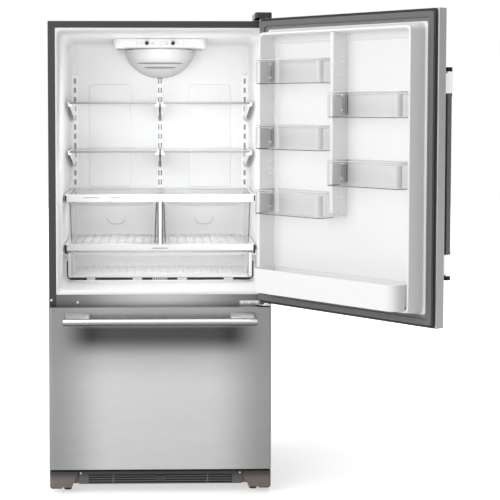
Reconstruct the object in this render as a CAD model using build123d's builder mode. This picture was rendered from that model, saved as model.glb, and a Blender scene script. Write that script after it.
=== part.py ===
from build123d import *
import os

# A bottom freezer refrigerator: one hinged door above one pull-out freezer drawer.
# Millimetres. X to the right and Z up as seen from the front, Y towards the back.
# The origin is on the floor, midway between the cabinet's sides, below the front
# face of its flange. The door is drawn shut and then swung open about its hinge pins.

# ---------------------------------------------------------------- driving dimensions

# cabinet
CABINET_WIDTH = 832.0
CABINET_DEPTH = 706.0  # flange face to rear panel
CABINET_TOP = 1768.0
DECK_HEIGHT = 78.0  # underside of the bottom deck
FREEZER_CEILING = 680.0
SHEET = 1.2  # steel sheet
SHELL_CORNER = 4.0
SIDE_FLANGE = 27.0
TOP_FLANGE = 25.0
RAIL_HEIGHT = 60.0  # rail between the two openings
STEP_RUN = 40.0
HALF = CABINET_WIDTH / 2
SIDE_BOTTOM = DECK_HEIGHT - 50.0  # lower edge of the steel sides above the floor
BACK_DECK_HEIGHT = DECK_HEIGHT + 218.0  # underside of the deck over the machine compartment
DECK_STEP = CABINET_DEPTH - 306.0  # where the deck starts to rise
FREEZER_SILL = DECK_HEIGHT + 48.0
RAIL_BOTTOM = FREEZER_CEILING + 8.0
RAIL_TOP = RAIL_BOTTOM + RAIL_HEIGHT

# refrigerator compartment
LINER = 2.0  # moulded liner wall
THROAT_DEPTH = 12.0
THROAT_INSET = 9.0
BACK_INSET = 15.0
COMPARTMENT_DEPTH = CABINET_DEPTH - 109.0
FLOOR_FRONT = RAIL_TOP + 16.0
FLOOR_BACK = FLOOR_FRONT + 8.0
CEILING_FRONT = CABINET_TOP - 37.0
CEILING_BACK = CEILING_FRONT - 21.0

# freezer compartment
FREEZER_HALF_WIDTH = HALF - 42.0
FREEZER_FLOOR = FREEZER_SILL + 8.0
FREEZER_DEPTH = CABINET_DEPTH - 116.0
FREEZER_STEP_TOP = BACK_DECK_HEIGHT + 49.0
FREEZER_STEP_FRONT = DECK_STEP - 48.0
FREEZER_CORNER = 16.0

# door
DOOR_WIDTH = CABINET_WIDTH - 4.0
DOOR_TOP = CABINET_TOP + 6.0
DOOR_BOTTOM = RAIL_TOP - 24.5
SEAL_GAP = 13.0  # door back to flange face
DOOR_THICKNESS = 45.0
DOOR_SKIN = 1.0
DOOR_EDGE_RADIUS = 13.0
DOOR_RETURN = 14.0  # skin folded over the back edge
DOOR_OPEN = 130.6  # degrees
PIVOT_X = HALF - 21.0
PIVOT_Y = -33.0
PIN_DIAMETER = 10.0
PIN_CLEARANCE = 0.05
RIM_SIDE = 56.0  # door edge to the foot of the raised rim
RIM_TOP = 48.0
RIM_BOTTOM = 42.5
RIM_HEIGHT = 68.0
RIM_DRAFT = 8.0
RIM_RIDGE = 8.5
RIM_RADIUS = 24.0
RECESS_DRAFT = 4.0
RECESS_DEPTH = 9.0  # below the door back
RIB_FOOT = 12.0  # half width of the centre rib
RIB_RIDGE = 8.0
RIB_HEIGHT = 72.0
RIB_SLANT = 12.0  # rise of the rib's lower end from the floor to the ridge

# gaskets
GASKET_INSET = 14.0  # from the panel's edge
GASKET_LIP = 32.0
GASKET_LIP_THICKNESS = 3.0
GASKET_BULB = 21.0
GASKET_CLEARANCE = 0.5
GASKET_RADIUS = 10.0

# freezer drawer
DRAWER_TOP = DOOR_BOTTOM - 16.0
DRAWER_BOTTOM = FREEZER_SILL - 27.0
SLIDE_CENTRE = FREEZER_FLOOR + 238.0  # height
SLIDE_HEIGHT = 45.0
SLIDE_FRONT = 20.0
SLIDE_LENGTH = FREEZER_DEPTH - 130.0
SLIDE_METAL = 1.5
SLIDE_PLAY = 0.3
BASKET_WALL = 2.5

# handles
BAR_DIAMETER = 25.4
SLEEVE_DIAMETER = 27.6
BAR_STANDOFF = 45.0  # panel face to bar centre
DOOR_BAR_LENGTH = 708.0
DOOR_BAR_INSET = 32.0
DOOR_BAR_BOTTOM = DOOR_BOTTOM + 151.5
DRAWER_BAR_LENGTH = 714.0
DRAWER_BAR_DROP = 47.5  # below the drawer's top edge
SLEEVE_LENGTH = 98.0
POST_LENGTH = 71.0
POST_INSET = 18.0
POST_WIDTH = 16.0

# crispers and pantry
COVER_FRONT = 195.0
COVER_BACK = COMPARTMENT_DEPTH - 9.0
COVER_REACH = HALF - 46.0
LEDGE_INNER = COVER_REACH - 9.0
PANTRY_REACH = HALF - 67.0
PANTRY_BOTTOM = FLOOR_BACK + 14.0
PANTRY_TOP = PANTRY_BOTTOM + 100.0
PANTRY_TRIM = 22.0
PANTRY_COVER_TOP = PANTRY_TOP + 29.0
CRISPER_INNER = 11.0
CRISPER_OUTER = HALF - 63.0
CRISPER_FRONT = COVER_FRONT + 5.0
CRISPER_BACK = COVER_BACK - 8.0
CRISPER_BOTTOM = PANTRY_COVER_TOP + 3.0
CRISPER_TOP = CRISPER_BOTTOM + 162.0
CRISPER_TRIM = 27.0
CRISPER_COVER_TOP = CRISPER_TOP + 30.0
TUB_WALL = 2.5
TUB_DRAFT = 6.0
HUMIDITY_TRAVEL = 40.0

# control housing and diffuser
HOUSING_FRONT = COMPARTMENT_DEPTH - 267.0
HOUSING_HALF_WIDTH = 181.0
HOUSING_BOTTOM = CEILING_BACK - 30.0
HOUSING_WALL = 2.5
KNOB_X = 51.5
KNOB_HEIGHT = HOUSING_BOTTOM + 20.0
KNOB_DIAMETER = 15.0
SHAFT_DIAMETER = 6.0
BUTTON_SIZE = 8.0
DIFFUSER_WALL = 2.5
DIFFUSER_DROP = 113.0

# shelves
SLOT_PITCH = 38.1
SLOT_WIDTH = 5.0
SLOT_HEIGHT = 22.0
TRACK_DEPTH = 6.0
TRACK_METAL = 1.5
SIDE_TRACK_X = HALF - 64.0
SIDE_TRACK_WIDTH = 24.0
CENTRE_TRACK_WIDTH = 23.0
CENTRE_TRACK_END = 10.0  # above its uppermost slot's centre
SIDE_TRACK_END = 24.0
CENTRE_SLOT_X = 5.0
SHELF_FRONT = COMPARTMENT_DEPTH - 335.0
SHELF_REACH = SIDE_TRACK_X + 8.0  # outer edge from the centre
SHELF_GAP = 3.7  # inner edge from the centre
SHELF_FRAME_HEIGHT = 7.0
GLASS = 4.0
ARM_METAL = 2.5
ARM_FRONT = 16.0  # arm's height under the shelf's top, at the front
ARM_DROP = 78.0
HOOK_DROP = 27.0  # shelf top above its upper hook
FIRST_SLOT = CRISPER_COVER_TOP + 26.0
SLOT_ROOM = HOUSING_BOTTOM - DIFFUSER_DROP - CENTRE_TRACK_END - 1.0 - FIRST_SLOT
SLOT_ROWS = int(SLOT_ROOM // SLOT_PITCH) + 1
UPPER_SHELF_ROW = SLOT_ROWS - 4
LOWER_SHELF_ROW = round(0.4 * UPPER_SHELF_ROW)

# door bins
BIN_DEPTH = 114.0  # front to back
BIN_HEIGHT = 88.0
BIN_WALL = 2.5
BIN_PAD = 4.5  # thick ends that hold the lug grooves
BIN_GAP = 0.8
BIN_CORNER = 18.0
BIN_FILLET = 6.0
GALLON_BIN_BOTTOM = DOOR_BOTTOM + 66.5
GALLON_BIN_HEIGHT = 79.0
GALLON_BIN_DEPTH = 131.0
GALLON_CORNER = 38.0
GALLON_APRON = 8.0
LOWEST_BIN = GALLON_BIN_BOTTOM + GALLON_BIN_HEIGHT + 195.0
HIGHEST_BIN = DOOR_TOP - 242.0
BIN_PITCH = (HIGHEST_BIN - LOWEST_BIN) / 4
HINGE_BIN_HEIGHTS = (LOWEST_BIN, LOWEST_BIN + 2 * BIN_PITCH, HIGHEST_BIN)
FREE_BIN_HEIGHTS = (LOWEST_BIN + BIN_PITCH, LOWEST_BIN + 3 * BIN_PITCH)
LUG_DIAMETER = 10.0
LUG_LENGTH = 3.0
LUG_SPACING = 50.0
LUG_CLEARANCE = 0.3
LUG_DEPTH = 10.0  # behind the flange face when the door is shut

# base
GRILLE_TOP = DECK_HEIGHT + 6.0
GRILLE_BOTTOM = DECK_HEIGHT - 43.0
GRILLE_HALF_WIDTH = HALF - 110.0
GRILLE_DEPTH = 22.0
SLAT_PITCH = 9.0
SLAT_COUNT = 5
SLAT_GAP = 5.5
FOOT_COVER_BOTTOM = DECK_HEIGHT - 54.0
FOOT_COVER_DEPTH = 30.0
FOOT_LOBE = 7.0  # lower end of the cover's outer part below its main edge
LEG_X = HALF - 64.0
LEG_Y = 42.0
LEG_DIAMETER = 10.0
LEG_FOOT_RADIUS = 14.5
ROLLER_RADIUS = 25.0
ROLLER_WIDTH = 22.0
ROLLER_X = HALF - 76.0
ROLLER_Y = CABINET_DEPTH - 66.0
AXLE_DIAMETER = 8.0

# machine compartment
BASE_PLATE_HEIGHT = DECK_HEIGHT - 38.0
BASE_PLATE_FRONT = CABINET_DEPTH - 236.0
MACHINE_COVER_GAP = 1.0
MACHINE_COVER_INSET = 6.0
COMPRESSOR_X = HALF - 211.0
COMPRESSOR_Y = CABINET_DEPTH - 121.0
COMPRESSOR_RADIUS = 74.0
FAN_X = -50.0
FAN_Y = CABINET_DEPTH - 106.0
FAN_Z = BASE_PLATE_HEIGHT + 110.0
FAN_RADIUS = 72.0

# ---------------------------------------------------------------- worked-out places

OPENING = HALF - SIDE_FLANGE
OPENING_TOP = CABINET_TOP - TOP_FLANGE
INSIDE = HALF - SHEET
BACK_FACE = CABINET_DEPTH - SHEET
DECK_TOP = DECK_HEIGHT + SHEET
BACK_DECK_TOP = BACK_DECK_HEIGHT + SHEET
DOOR_HALF = DOOR_WIDTH / 2
PANEL_BACK = -SEAL_GAP
PANEL_FRONT = PANEL_BACK - DOOR_THICKNESS
SKIN_INSIDE = DOOR_HALF - DOOR_SKIN
THROAT = OPENING - LINER - THROAT_INSET
BACK_HALF = OPENING - LINER - BACK_INSET
TRACK_FACE = COMPARTMENT_DEPTH - TRACK_DEPTH
TRACK_BOTTOM = CRISPER_COVER_TOP + 2.0
LEDGE_BACK = COVER_BACK - 5.0
BAR_Y = PANEL_FRONT - BAR_STANDOFF
FOOT_COVER_INNER = GRILLE_HALF_WIDTH + 2.0


# ---------------------------------------------------------------- helpers


def block(x, y, z, mode=Mode.ADD):
    """A box between a low and a high place on each axis."""
    size = [high - low for low, high in (x, y, z)]
    middle = tuple((low + high) / 2 for low, high in (x, y, z))
    with Locations(middle):
        Box(*size, mode=mode)


def pair(x, y, z, mode=Mode.ADD):
    """A box on the right and its twin on the left."""
    block(x, y, z, mode)
    block((-x[1], -x[0]), y, z, mode)


def at_depth(y):
    """A plane facing the front: its x is X and its y is Z."""
    return Plane.XZ.offset(-y)


def at_height(z):
    return Plane.XY.offset(z)


def ceiling(y):
    """Height of the refrigerator compartment's sloping ceiling."""
    share = (y - THROAT_DEPTH) / (COMPARTMENT_DEPTH - THROAT_DEPTH)
    return CEILING_FRONT + (CEILING_BACK - CEILING_FRONT) * share


def compartment(wall):
    """The refrigerator compartment's space, grown by a wall."""
    sections = (
        (0, OPENING - LINER, RAIL_TOP + LINER, OPENING_TOP - LINER, 8),
        (THROAT_DEPTH, THROAT, FLOOR_FRONT, CEILING_FRONT, 16),
        (COMPARTMENT_DEPTH + wall, BACK_HALF, FLOOR_BACK, CEILING_BACK, 8),
    )
    with BuildPart() as space:
        for y, half, low, high, radius in sections:
            with BuildSketch(at_depth(y)):
                with Locations((0, (low + high) / 2)):
                    RectangleRounded(2 * (half + wall), high - low + 2 * wall, radius + wall)
        loft(ruled=True)
    return space


def freezer_space(wall):
    """The freezer compartment's stepped space, grown by a wall."""
    with BuildPart() as space:
        with BuildSketch(Plane.YZ) as outline:
            Polygon(
                (-wall, FREEZER_FLOOR),
                (FREEZER_STEP_FRONT, FREEZER_FLOOR),
                (FREEZER_STEP_FRONT + STEP_RUN, FREEZER_STEP_TOP),
                (FREEZER_DEPTH, FREEZER_STEP_TOP),
                (FREEZER_DEPTH, FREEZER_CEILING),
                (-wall, FREEZER_CEILING),
                align=None,
            )
            fillet(outline.vertices().filter_by(lambda v: v.X > 0), FREEZER_CORNER)
            if wall:
                offset(amount=wall, mode=Mode.REPLACE)
                with Locations((-5 * wall, FREEZER_CEILING / 2)):
                    Rectangle(10 * wall, 2 * FREEZER_CEILING, mode=Mode.SUBTRACT)
        extrude(amount=FREEZER_HALF_WIDTH + wall, both=True)
    return space


def tub(half_length, half_width, centre, bottom, top, radius=12.0, wall=TUB_WALL):
    """An open tub with drafted walls."""
    with BuildPart() as piece:
        for height, inset in ((bottom, TUB_DRAFT), (top, 0)):
            with BuildSketch(at_height(height)):
                with Locations(centre):
                    RectangleRounded(
                        2 * (half_length - inset), 2 * (half_width - inset), radius
                    )
        loft(ruled=True)
        offset(amount=-wall, openings=piece.faces().sort_by(Axis.Z)[-1])
    return piece


# ---------------------------------------------------------------- cabinet

with BuildPart() as cabinet_shell:
    with BuildSketch(Plane.XZ) as wrap:
        with Locations((0, (SIDE_BOTTOM + CABINET_TOP) / 2)):
            Rectangle(CABINET_WIDTH, CABINET_TOP - SIDE_BOTTOM)
        fillet(wrap.vertices().group_by(Axis.Y)[-1], SHELL_CORNER)
        offset(amount=-SHEET, mode=Mode.SUBTRACT)
        with Locations((0, SIDE_BOTTOM)):
            Rectangle(2 * INSIDE, 4 * SHEET, mode=Mode.SUBTRACT)
    extrude(amount=-CABINET_DEPTH)
    with BuildSketch(Plane.XZ) as flange:
        with Locations((0, (DECK_HEIGHT + CABINET_TOP) / 2)):
            Rectangle(CABINET_WIDTH, CABINET_TOP - DECK_HEIGHT)
        fillet(flange.vertices().group_by(Axis.Y)[-1], SHELL_CORNER)
        with Locations((0, OPENING_TOP)):
            Rectangle(
                2 * OPENING, 2 * OPENING_TOP, align=(Align.CENTER, Align.MAX), mode=Mode.SUBTRACT
            )
    extrude(amount=-SHEET)

with BuildPart() as mullion:
    block((-OPENING, OPENING), (0, SHEET), (RAIL_BOTTOM, RAIL_TOP))
    block((-OPENING, OPENING), (0, 12), (RAIL_BOTTOM, RAIL_BOTTOM + SHEET))

with BuildPart() as chassis:
    with BuildSketch(Plane.YZ):
        Polygon(
            (SHEET, DECK_HEIGHT),
            (DECK_STEP, DECK_HEIGHT),
            (DECK_STEP + STEP_RUN, BACK_DECK_HEIGHT),
            (BACK_FACE, BACK_DECK_HEIGHT),
            (BACK_FACE, BACK_DECK_TOP),
            (DECK_STEP + STEP_RUN - SHEET, BACK_DECK_TOP),
            (DECK_STEP - SHEET, DECK_TOP),
            (SHEET, DECK_TOP),
            align=None,
        )
    extrude(amount=INSIDE, both=True)
    block((-OPENING, OPENING), (0, SHEET), (DECK_HEIGHT, FREEZER_SILL))
    # brackets that hold the levelling legs
    pair((LEG_X - 34, INSIDE), (LEG_Y - 28, LEG_Y + 28), (DECK_HEIGHT - 4, DECK_HEIGHT))
    for side in (-1, 1):
        with Locations((side * LEG_X, LEG_Y, DECK_HEIGHT - 28)):
            Cylinder(11, 28, align=(Align.CENTER, Align.CENTER, Align.MIN))
            Cylinder(
                LEG_DIAMETER / 2 + PIN_CLEARANCE,
                29.5,
                align=(Align.CENTER, Align.CENTER, Align.MIN),
                mode=Mode.SUBTRACT,
            )
    # base plate that carries the compressor and the rear rollers
    plate_top = BASE_PLATE_HEIGHT + SHEET
    plate_run = (BASE_PLATE_FRONT, CABINET_DEPTH - MACHINE_COVER_INSET)
    block((-INSIDE, INSIDE), plate_run, (BASE_PLATE_HEIGHT, plate_top))
    pair((INSIDE - SHEET, INSIDE), plate_run, (BASE_PLATE_HEIGHT, BASE_PLATE_HEIGHT + 90))
    for x in (ROLLER_X - ROLLER_WIDTH / 2 - 3, ROLLER_X + ROLLER_WIDTH / 2 + 1):
        pair((x, x + 2), (ROLLER_Y - 13, ROLLER_Y + 13), (ROLLER_RADIUS - 10, plate_top))
    pair(
        (ROLLER_X - ROLLER_WIDTH / 2 - 1, ROLLER_X + ROLLER_WIDTH / 2 + 1),
        (ROLLER_Y - ROLLER_RADIUS - 3, ROLLER_Y + ROLLER_RADIUS + 3),
        (BASE_PLATE_HEIGHT - 1, plate_top + 1),
        mode=Mode.SUBTRACT,
    )
    with Locations((0, ROLLER_Y, ROLLER_RADIUS)):
        Cylinder(
            AXLE_DIAMETER / 2 + PIN_CLEARANCE,
            CABINET_WIDTH - 40,
            rotation=(0, 90, 0),
            mode=Mode.SUBTRACT,
        )

with BuildPart() as rear_panel:
    panel_foot = BACK_DECK_HEIGHT + 2
    block((-INSIDE, INSIDE), (BACK_FACE, CABINET_DEPTH), (panel_foot, CABINET_TOP - SHEET))
    fillet(rear_panel.edges().filter_by(Axis.Y).group_by(Axis.Z)[-1], SHELL_CORNER - SHEET)

liner_outside = compartment(LINER)
liner_inside = compartment(0)
freezer_outside = freezer_space(LINER)
freezer_inside = freezer_space(0)

with BuildPart() as liner_ledges:
    crisper_ledge = CRISPER_COVER_TOP - CRISPER_TRIM
    pantry_ledge = PANTRY_COVER_TOP - PANTRY_TRIM
    for top in (crisper_ledge, pantry_ledge):
        pair((LEDGE_INNER, OPENING), (COVER_FRONT + 25, LEDGE_BACK), (top - 12, top))
    drawer_ledge = PANTRY_TOP - 3 - SLIDE_PLAY
    pair(
        (PANTRY_REACH + 3, OPENING),
        (COVER_FRONT + 12, LEDGE_BACK),
        (drawer_ledge - 13, drawer_ledge),
    )
    # raised panels on the back wall, between the shelf tracks
    panel_top = FIRST_SLOT + (SLOT_ROWS - 1.3) * SLOT_PITCH
    panel_inner = SIDE_TRACK_X - 234
    panel_outer = SIDE_TRACK_X - 56
    with BuildSketch(at_depth(COMPARTMENT_DEPTH + 1)) as wall_panels:
        for side in (-1, 1):
            with Locations((side * (panel_inner + panel_outer) / 2, (TRACK_BOTTOM + panel_top) / 2)):
                Rectangle(panel_outer - panel_inner, panel_top - TRACK_BOTTOM)
        fillet(wall_panels.vertices().group_by(Axis.Y)[-1], 16)
    extrude(amount=4)
    # columns above the side tracks
    column_foot = FIRST_SLOT + (SLOT_ROWS - 1) * SLOT_PITCH + SIDE_TRACK_END + 1
    pair(
        (SIDE_TRACK_X - 14, SIDE_TRACK_X + 14),
        (COMPARTMENT_DEPTH - 3, COMPARTMENT_DEPTH + 1),
        (column_foot, CEILING_BACK + 1),
    )
    add(liner_outside.part, mode=Mode.INTERSECT)

with BuildPart() as fresh_food_liner:
    add(liner_outside.part)
    add(liner_inside.part, mode=Mode.SUBTRACT)
    add(liner_ledges.part)

with BuildPart() as freezer_liner:
    add(freezer_outside.part)
    block((-OPENING, OPENING), (0, LINER), (FREEZER_SILL, RAIL_BOTTOM))
    add(freezer_inside.part, mode=Mode.SUBTRACT)

with BuildPart() as cabinet_foam:
    with BuildSketch(Plane.YZ):
        Polygon(
            (SHEET, DECK_TOP),
            (DECK_STEP - SHEET, DECK_TOP),
            (DECK_STEP + STEP_RUN - SHEET, BACK_DECK_TOP),
            (BACK_FACE, BACK_DECK_TOP),
            (BACK_FACE, CABINET_TOP - SHEET),
            (SHEET, CABINET_TOP - SHEET),
            align=None,
        )
    extrude(amount=INSIDE, both=True)
    top_edges = cabinet_foam.edges().filter_by(Axis.Y).group_by(Axis.Z)[-1]
    fillet(top_edges, SHELL_CORNER - SHEET)
    add(liner_outside.part, mode=Mode.SUBTRACT)
    add(freezer_outside.part, mode=Mode.SUBTRACT)
    block((-OPENING, OPENING), (0, LINER), (FREEZER_SILL, RAIL_BOTTOM), mode=Mode.SUBTRACT)
    add(mullion.part, mode=Mode.SUBTRACT)

# ---------------------------------------------------------------- hinges

HINGE_ARM = 4.0
HINGE_LIFT = 9.0  # arm above the cabinet top

with BuildPart() as top_hinge:
    lifted = CABINET_TOP + HINGE_LIFT
    with BuildSketch(Plane.YZ.offset(PIVOT_X - 18)):
        Polygon(
            (PIVOT_Y, lifted),
            (10, lifted),
            (10, CABINET_TOP),
            (104, CABINET_TOP),
            (104, CABINET_TOP + HINGE_ARM),
            (14, CABINET_TOP + HINGE_ARM),
            (14, lifted + HINGE_ARM),
            (PIVOT_Y, lifted + HINGE_ARM),
            align=None,
        )
    extrude(amount=30)
    with Locations((PIVOT_X - 2, PIVOT_Y, lifted)):
        Cylinder(14, HINGE_ARM, align=(Align.CENTER, Align.CENTER, Align.MIN))
    block((PIVOT_X - 41, PIVOT_X - 18), (30, 104), (CABINET_TOP, CABINET_TOP + HINGE_ARM))
    with Locations((PIVOT_X, PIVOT_Y, DOOR_TOP - 21)):
        pin = lifted - DOOR_TOP + 22
        Cylinder(PIN_DIAMETER / 2, pin, align=(Align.CENTER, Align.CENTER, Align.MIN))

with BuildPart() as hinge_cover:
    COVER_HEIGHT = 30.0
    COVER_WALL = 2.5
    cover_left = PIVOT_X - 45
    cover_right = PIVOT_X + 17
    with BuildSketch(Plane.YZ.offset(cover_left)) as cover_side:
        Polygon(
            (-50, DOOR_TOP + 2.5),
            (2, DOOR_TOP + 2.5),
            (2, CABINET_TOP),
            (112, CABINET_TOP),
            (112, CABINET_TOP + COVER_HEIGHT),
            (-50, CABINET_TOP + COVER_HEIGHT),
            align=None,
        )
    extrude(amount=cover_right - cover_left)
    fillet(hinge_cover.edges().filter_by(Axis.Z), 8)
    cover_top = CABINET_TOP + COVER_HEIGHT
    upper = hinge_cover.edges().filter_by(lambda e: e.bounding_box().min.Z > cover_top - 1)
    fillet(upper, 5)
    block(
        (cover_left + COVER_WALL, cover_right - COVER_WALL),
        (-50 + COVER_WALL, 112 - COVER_WALL),
        (CABINET_TOP - 1, cover_top - COVER_WALL),
        mode=Mode.SUBTRACT,
    )

with BuildPart() as center_hinge:
    CENTRE_ARM = DOOR_BOTTOM - 11.5
    plate_right = PIVOT_X - 21
    block((PIVOT_X - 97, plate_right), (-3.5, 0), (CENTRE_ARM - 8.5, CENTRE_ARM + 12.5))
    with BuildSketch(at_height(CENTRE_ARM)) as arm:
        with BuildLine():
            arm_left = PIVOT_X - 55
            tip = (PIVOT_X + 16, PIVOT_Y - 15)
            heel = (PIVOT_X + 16, PIVOT_Y + 14)
            Polyline((arm_left, 0), (arm_left, -3.5), (PIVOT_X - 14, PIVOT_Y - 15), tip)
            Polyline(tip, heel, (plate_right, -3.5), (plate_right, 0), (arm_left, 0))
        make_face()
    extrude(amount=HINGE_ARM)
    with Locations((PIVOT_X, PIVOT_Y, CENTRE_ARM)):
        Cylinder(10, HINGE_ARM + 3.7, align=(Align.CENTER, Align.CENTER, Align.MIN))
        Cylinder(PIN_DIAMETER / 2, 34, align=(Align.CENTER, Align.CENTER, Align.MIN))

with BuildPart() as hinge_bushings:
    upper_bushing = (DOOR_TOP, DOOR_TOP - 25)
    lower_bushing = (DOOR_BOTTOM - 1.5, DOOR_BOTTOM)
    for flange_bottom, barrel_bottom in (upper_bushing, lower_bushing):
        with Locations((PIVOT_X, PIVOT_Y, flange_bottom)):
            Cylinder(11, 1.5, align=(Align.CENTER, Align.CENTER, Align.MIN))
        with Locations((PIVOT_X, PIVOT_Y, barrel_bottom)):
            Cylinder(8, 25, align=(Align.CENTER, Align.CENTER, Align.MIN))
    with Locations((PIVOT_X, PIVOT_Y, DOOR_BOTTOM - 5)):
        Cylinder(
            PIN_DIAMETER / 2 + PIN_CLEARANCE,
            DOOR_TOP - DOOR_BOTTOM + 10,
            align=(Align.CENTER, Align.CENTER, Align.MIN),
            mode=Mode.SUBTRACT,
        )

# ---------------------------------------------------------------- panels: door and drawer front


def panel_skin(bottom, top):
    """A stainless pan: front, sides, top, bottom and the return round its back edge."""
    centre = (bottom + top) / 2
    with BuildPart() as skin:
        with BuildSketch(at_height(bottom)) as outline:
            with Locations((0, (PANEL_FRONT + PANEL_BACK) / 2)):
                Rectangle(DOOR_WIDTH, DOOR_THICKNESS)
            fillet(outline.vertices().group_by(Axis.Y)[0], DOOR_EDGE_RADIUS)
        extrude(amount=top - bottom)
        with BuildSketch(at_height(bottom + DOOR_SKIN)) as hollow:
            with Locations((0, (PANEL_FRONT + PANEL_BACK) / 2)):
                Rectangle(2 * SKIN_INSIDE, DOOR_THICKNESS - 2 * DOOR_SKIN)
            fillet(hollow.vertices().group_by(Axis.Y)[0], DOOR_EDGE_RADIUS - DOOR_SKIN)
        extrude(amount=top - bottom - 2 * DOOR_SKIN, mode=Mode.SUBTRACT)
        with BuildSketch(at_depth(PANEL_BACK - 2)):
            with Locations((0, centre)):
                Rectangle(DOOR_WIDTH - 2 * DOOR_RETURN, top - bottom - 2 * DOOR_RETURN)
        extrude(amount=-4, mode=Mode.SUBTRACT)
    return skin


def panel_foam(bottom, top):
    """Foam that fills a pan up to the sheet of its inner liner."""
    with BuildPart() as foam:
        with BuildSketch(at_height(bottom + DOOR_SKIN)) as outline:
            with Locations((0, (PANEL_FRONT + DOOR_SKIN + PANEL_BACK - LINER) / 2)):
                Rectangle(2 * SKIN_INSIDE, DOOR_THICKNESS - DOOR_SKIN - LINER)
            fillet(outline.vertices().group_by(Axis.Y)[0], DOOR_EDGE_RADIUS - DOOR_SKIN)
        extrude(amount=top - bottom - 2 * DOOR_SKIN)
    return foam


def panel_gasket(bottom, top):
    """A magnetic gasket: a flat lip with the sealing bulb along its outer edge."""
    height = top - bottom - 2 * GASKET_INSET + 9
    width = DOOR_WIDTH - 2 * GASKET_INSET
    centre = (bottom + top) / 2
    with BuildPart() as gasket:
        for start, depth, ring in (
            (PANEL_BACK, GASKET_LIP_THICKNESS, GASKET_LIP),
            (PANEL_BACK, SEAL_GAP - GASKET_CLEARANCE, GASKET_BULB),
        ):
            with BuildSketch(at_depth(start)):
                with Locations((0, centre)):
                    RectangleRounded(width, height, GASKET_RADIUS)
                    Rectangle(width - 2 * ring, height - 2 * ring, mode=Mode.SUBTRACT)
            extrude(amount=-depth)
        outer = gasket.edges().filter_by(lambda e: e.center().Y > -1)
        fillet(outer, 3)
    return gasket


door_skin = panel_skin(DOOR_BOTTOM, DOOR_TOP)
rim_half = DOOR_HALF - RIM_SIDE
rim_low = DOOR_BOTTOM + RIM_BOTTOM
rim_high = DOOR_TOP - RIM_TOP
rim_top_y = PANEL_BACK + RIM_HEIGHT
recess_floor_y = PANEL_BACK - RECESS_DEPTH
ridge_inset = RIM_DRAFT + RIM_RIDGE


def tapered(y_low, y_high, half, low, high, inset, radius):
    """A rounded block that narrows by an inset on every side from one depth to another."""
    with BuildPart() as body:
        for y, shrink in ((y_low, 0), (y_high, inset)):
            with BuildSketch(at_depth(y)):
                with Locations((0, (low + high) / 2)):
                    RectangleRounded(2 * (half - shrink), high - low - 2 * shrink, radius)
        loft(ruled=True)
    return body


def recess(wall):
    """The space inside the raised rim, with its floor and sides moved out by a wall."""
    floor = recess_floor_y - wall
    inset = ridge_inset + RECESS_DRAFT - wall
    return tapered(
        floor,
        rim_top_y + 0.1,
        rim_half - inset,
        rim_low + inset,
        rim_high - inset,
        -RECESS_DRAFT,
        RIM_RADIUS - ridge_inset + wall + 6,
    )


def centre_rib(wall):
    """The upright rib between the two columns of bins."""
    low = LOWEST_BIN + 8 + wall
    high = rim_high - ridge_inset - RECESS_DRAFT + 6
    ridge_y = recess_floor_y + RIB_HEIGHT
    with BuildPart() as rib:
        with BuildSketch(at_height(low)):
            Polygon(
                (-RIB_FOOT + wall, recess_floor_y - LINER),
                (RIB_FOOT - wall, recess_floor_y - LINER),
                (RIB_RIDGE - wall, recess_floor_y + RIB_HEIGHT - wall),
                (-RIB_RIDGE + wall, recess_floor_y + RIB_HEIGHT - wall),
                align=None,
            )
        extrude(amount=high - low)
        with BuildSketch(Plane.YZ):
            Polygon(
                (recess_floor_y, low - 1),
                (ridge_y + 1, low - 1),
                (ridge_y + 1, low + RIB_SLANT),
                (recess_floor_y, low),
                align=None,
            )
        extrude(amount=2 * RIB_FOOT, both=True, mode=Mode.SUBTRACT)
    return rib


with BuildPart() as door_foam:
    add(panel_foam(DOOR_BOTTOM, DOOR_TOP).part)
    add(
        tapered(
            PANEL_BACK - LINER,
            rim_top_y - LINER,
            rim_half - LINER,
            rim_low + LINER,
            rim_high - LINER,
            RIM_DRAFT,
            RIM_RADIUS - LINER,
        ).part
    )
    add(recess(LINER).part, mode=Mode.SUBTRACT)
    add(centre_rib(LINER).part)
    with Locations((PIVOT_X, PIVOT_Y, DOOR_BOTTOM)):
        Cylinder(8, 28, align=(Align.CENTER, Align.CENTER, Align.MIN), mode=Mode.SUBTRACT)
    with Locations((PIVOT_X, PIVOT_Y, DOOR_TOP - 28)):
        Cylinder(8, 28, align=(Align.CENTER, Align.CENTER, Align.MIN), mode=Mode.SUBTRACT)

with BuildPart(mode=Mode.PRIVATE) as skin_holes:
    with Locations((PIVOT_X, PIVOT_Y, (DOOR_BOTTOM + DOOR_TOP) / 2)):
        Cylinder(8, DOOR_TOP - DOOR_BOTTOM + 4)

with BuildPart() as door_panel:
    add(door_skin.part)
    add(skin_holes.part, mode=Mode.SUBTRACT)

bin_end = rim_half - ridge_inset - RECESS_DRAFT - BIN_GAP
bin_start = RIB_FOOT + BIN_GAP
LUG_TOP_DROP = 14.0  # upper lug below the bin's top edge


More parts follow.
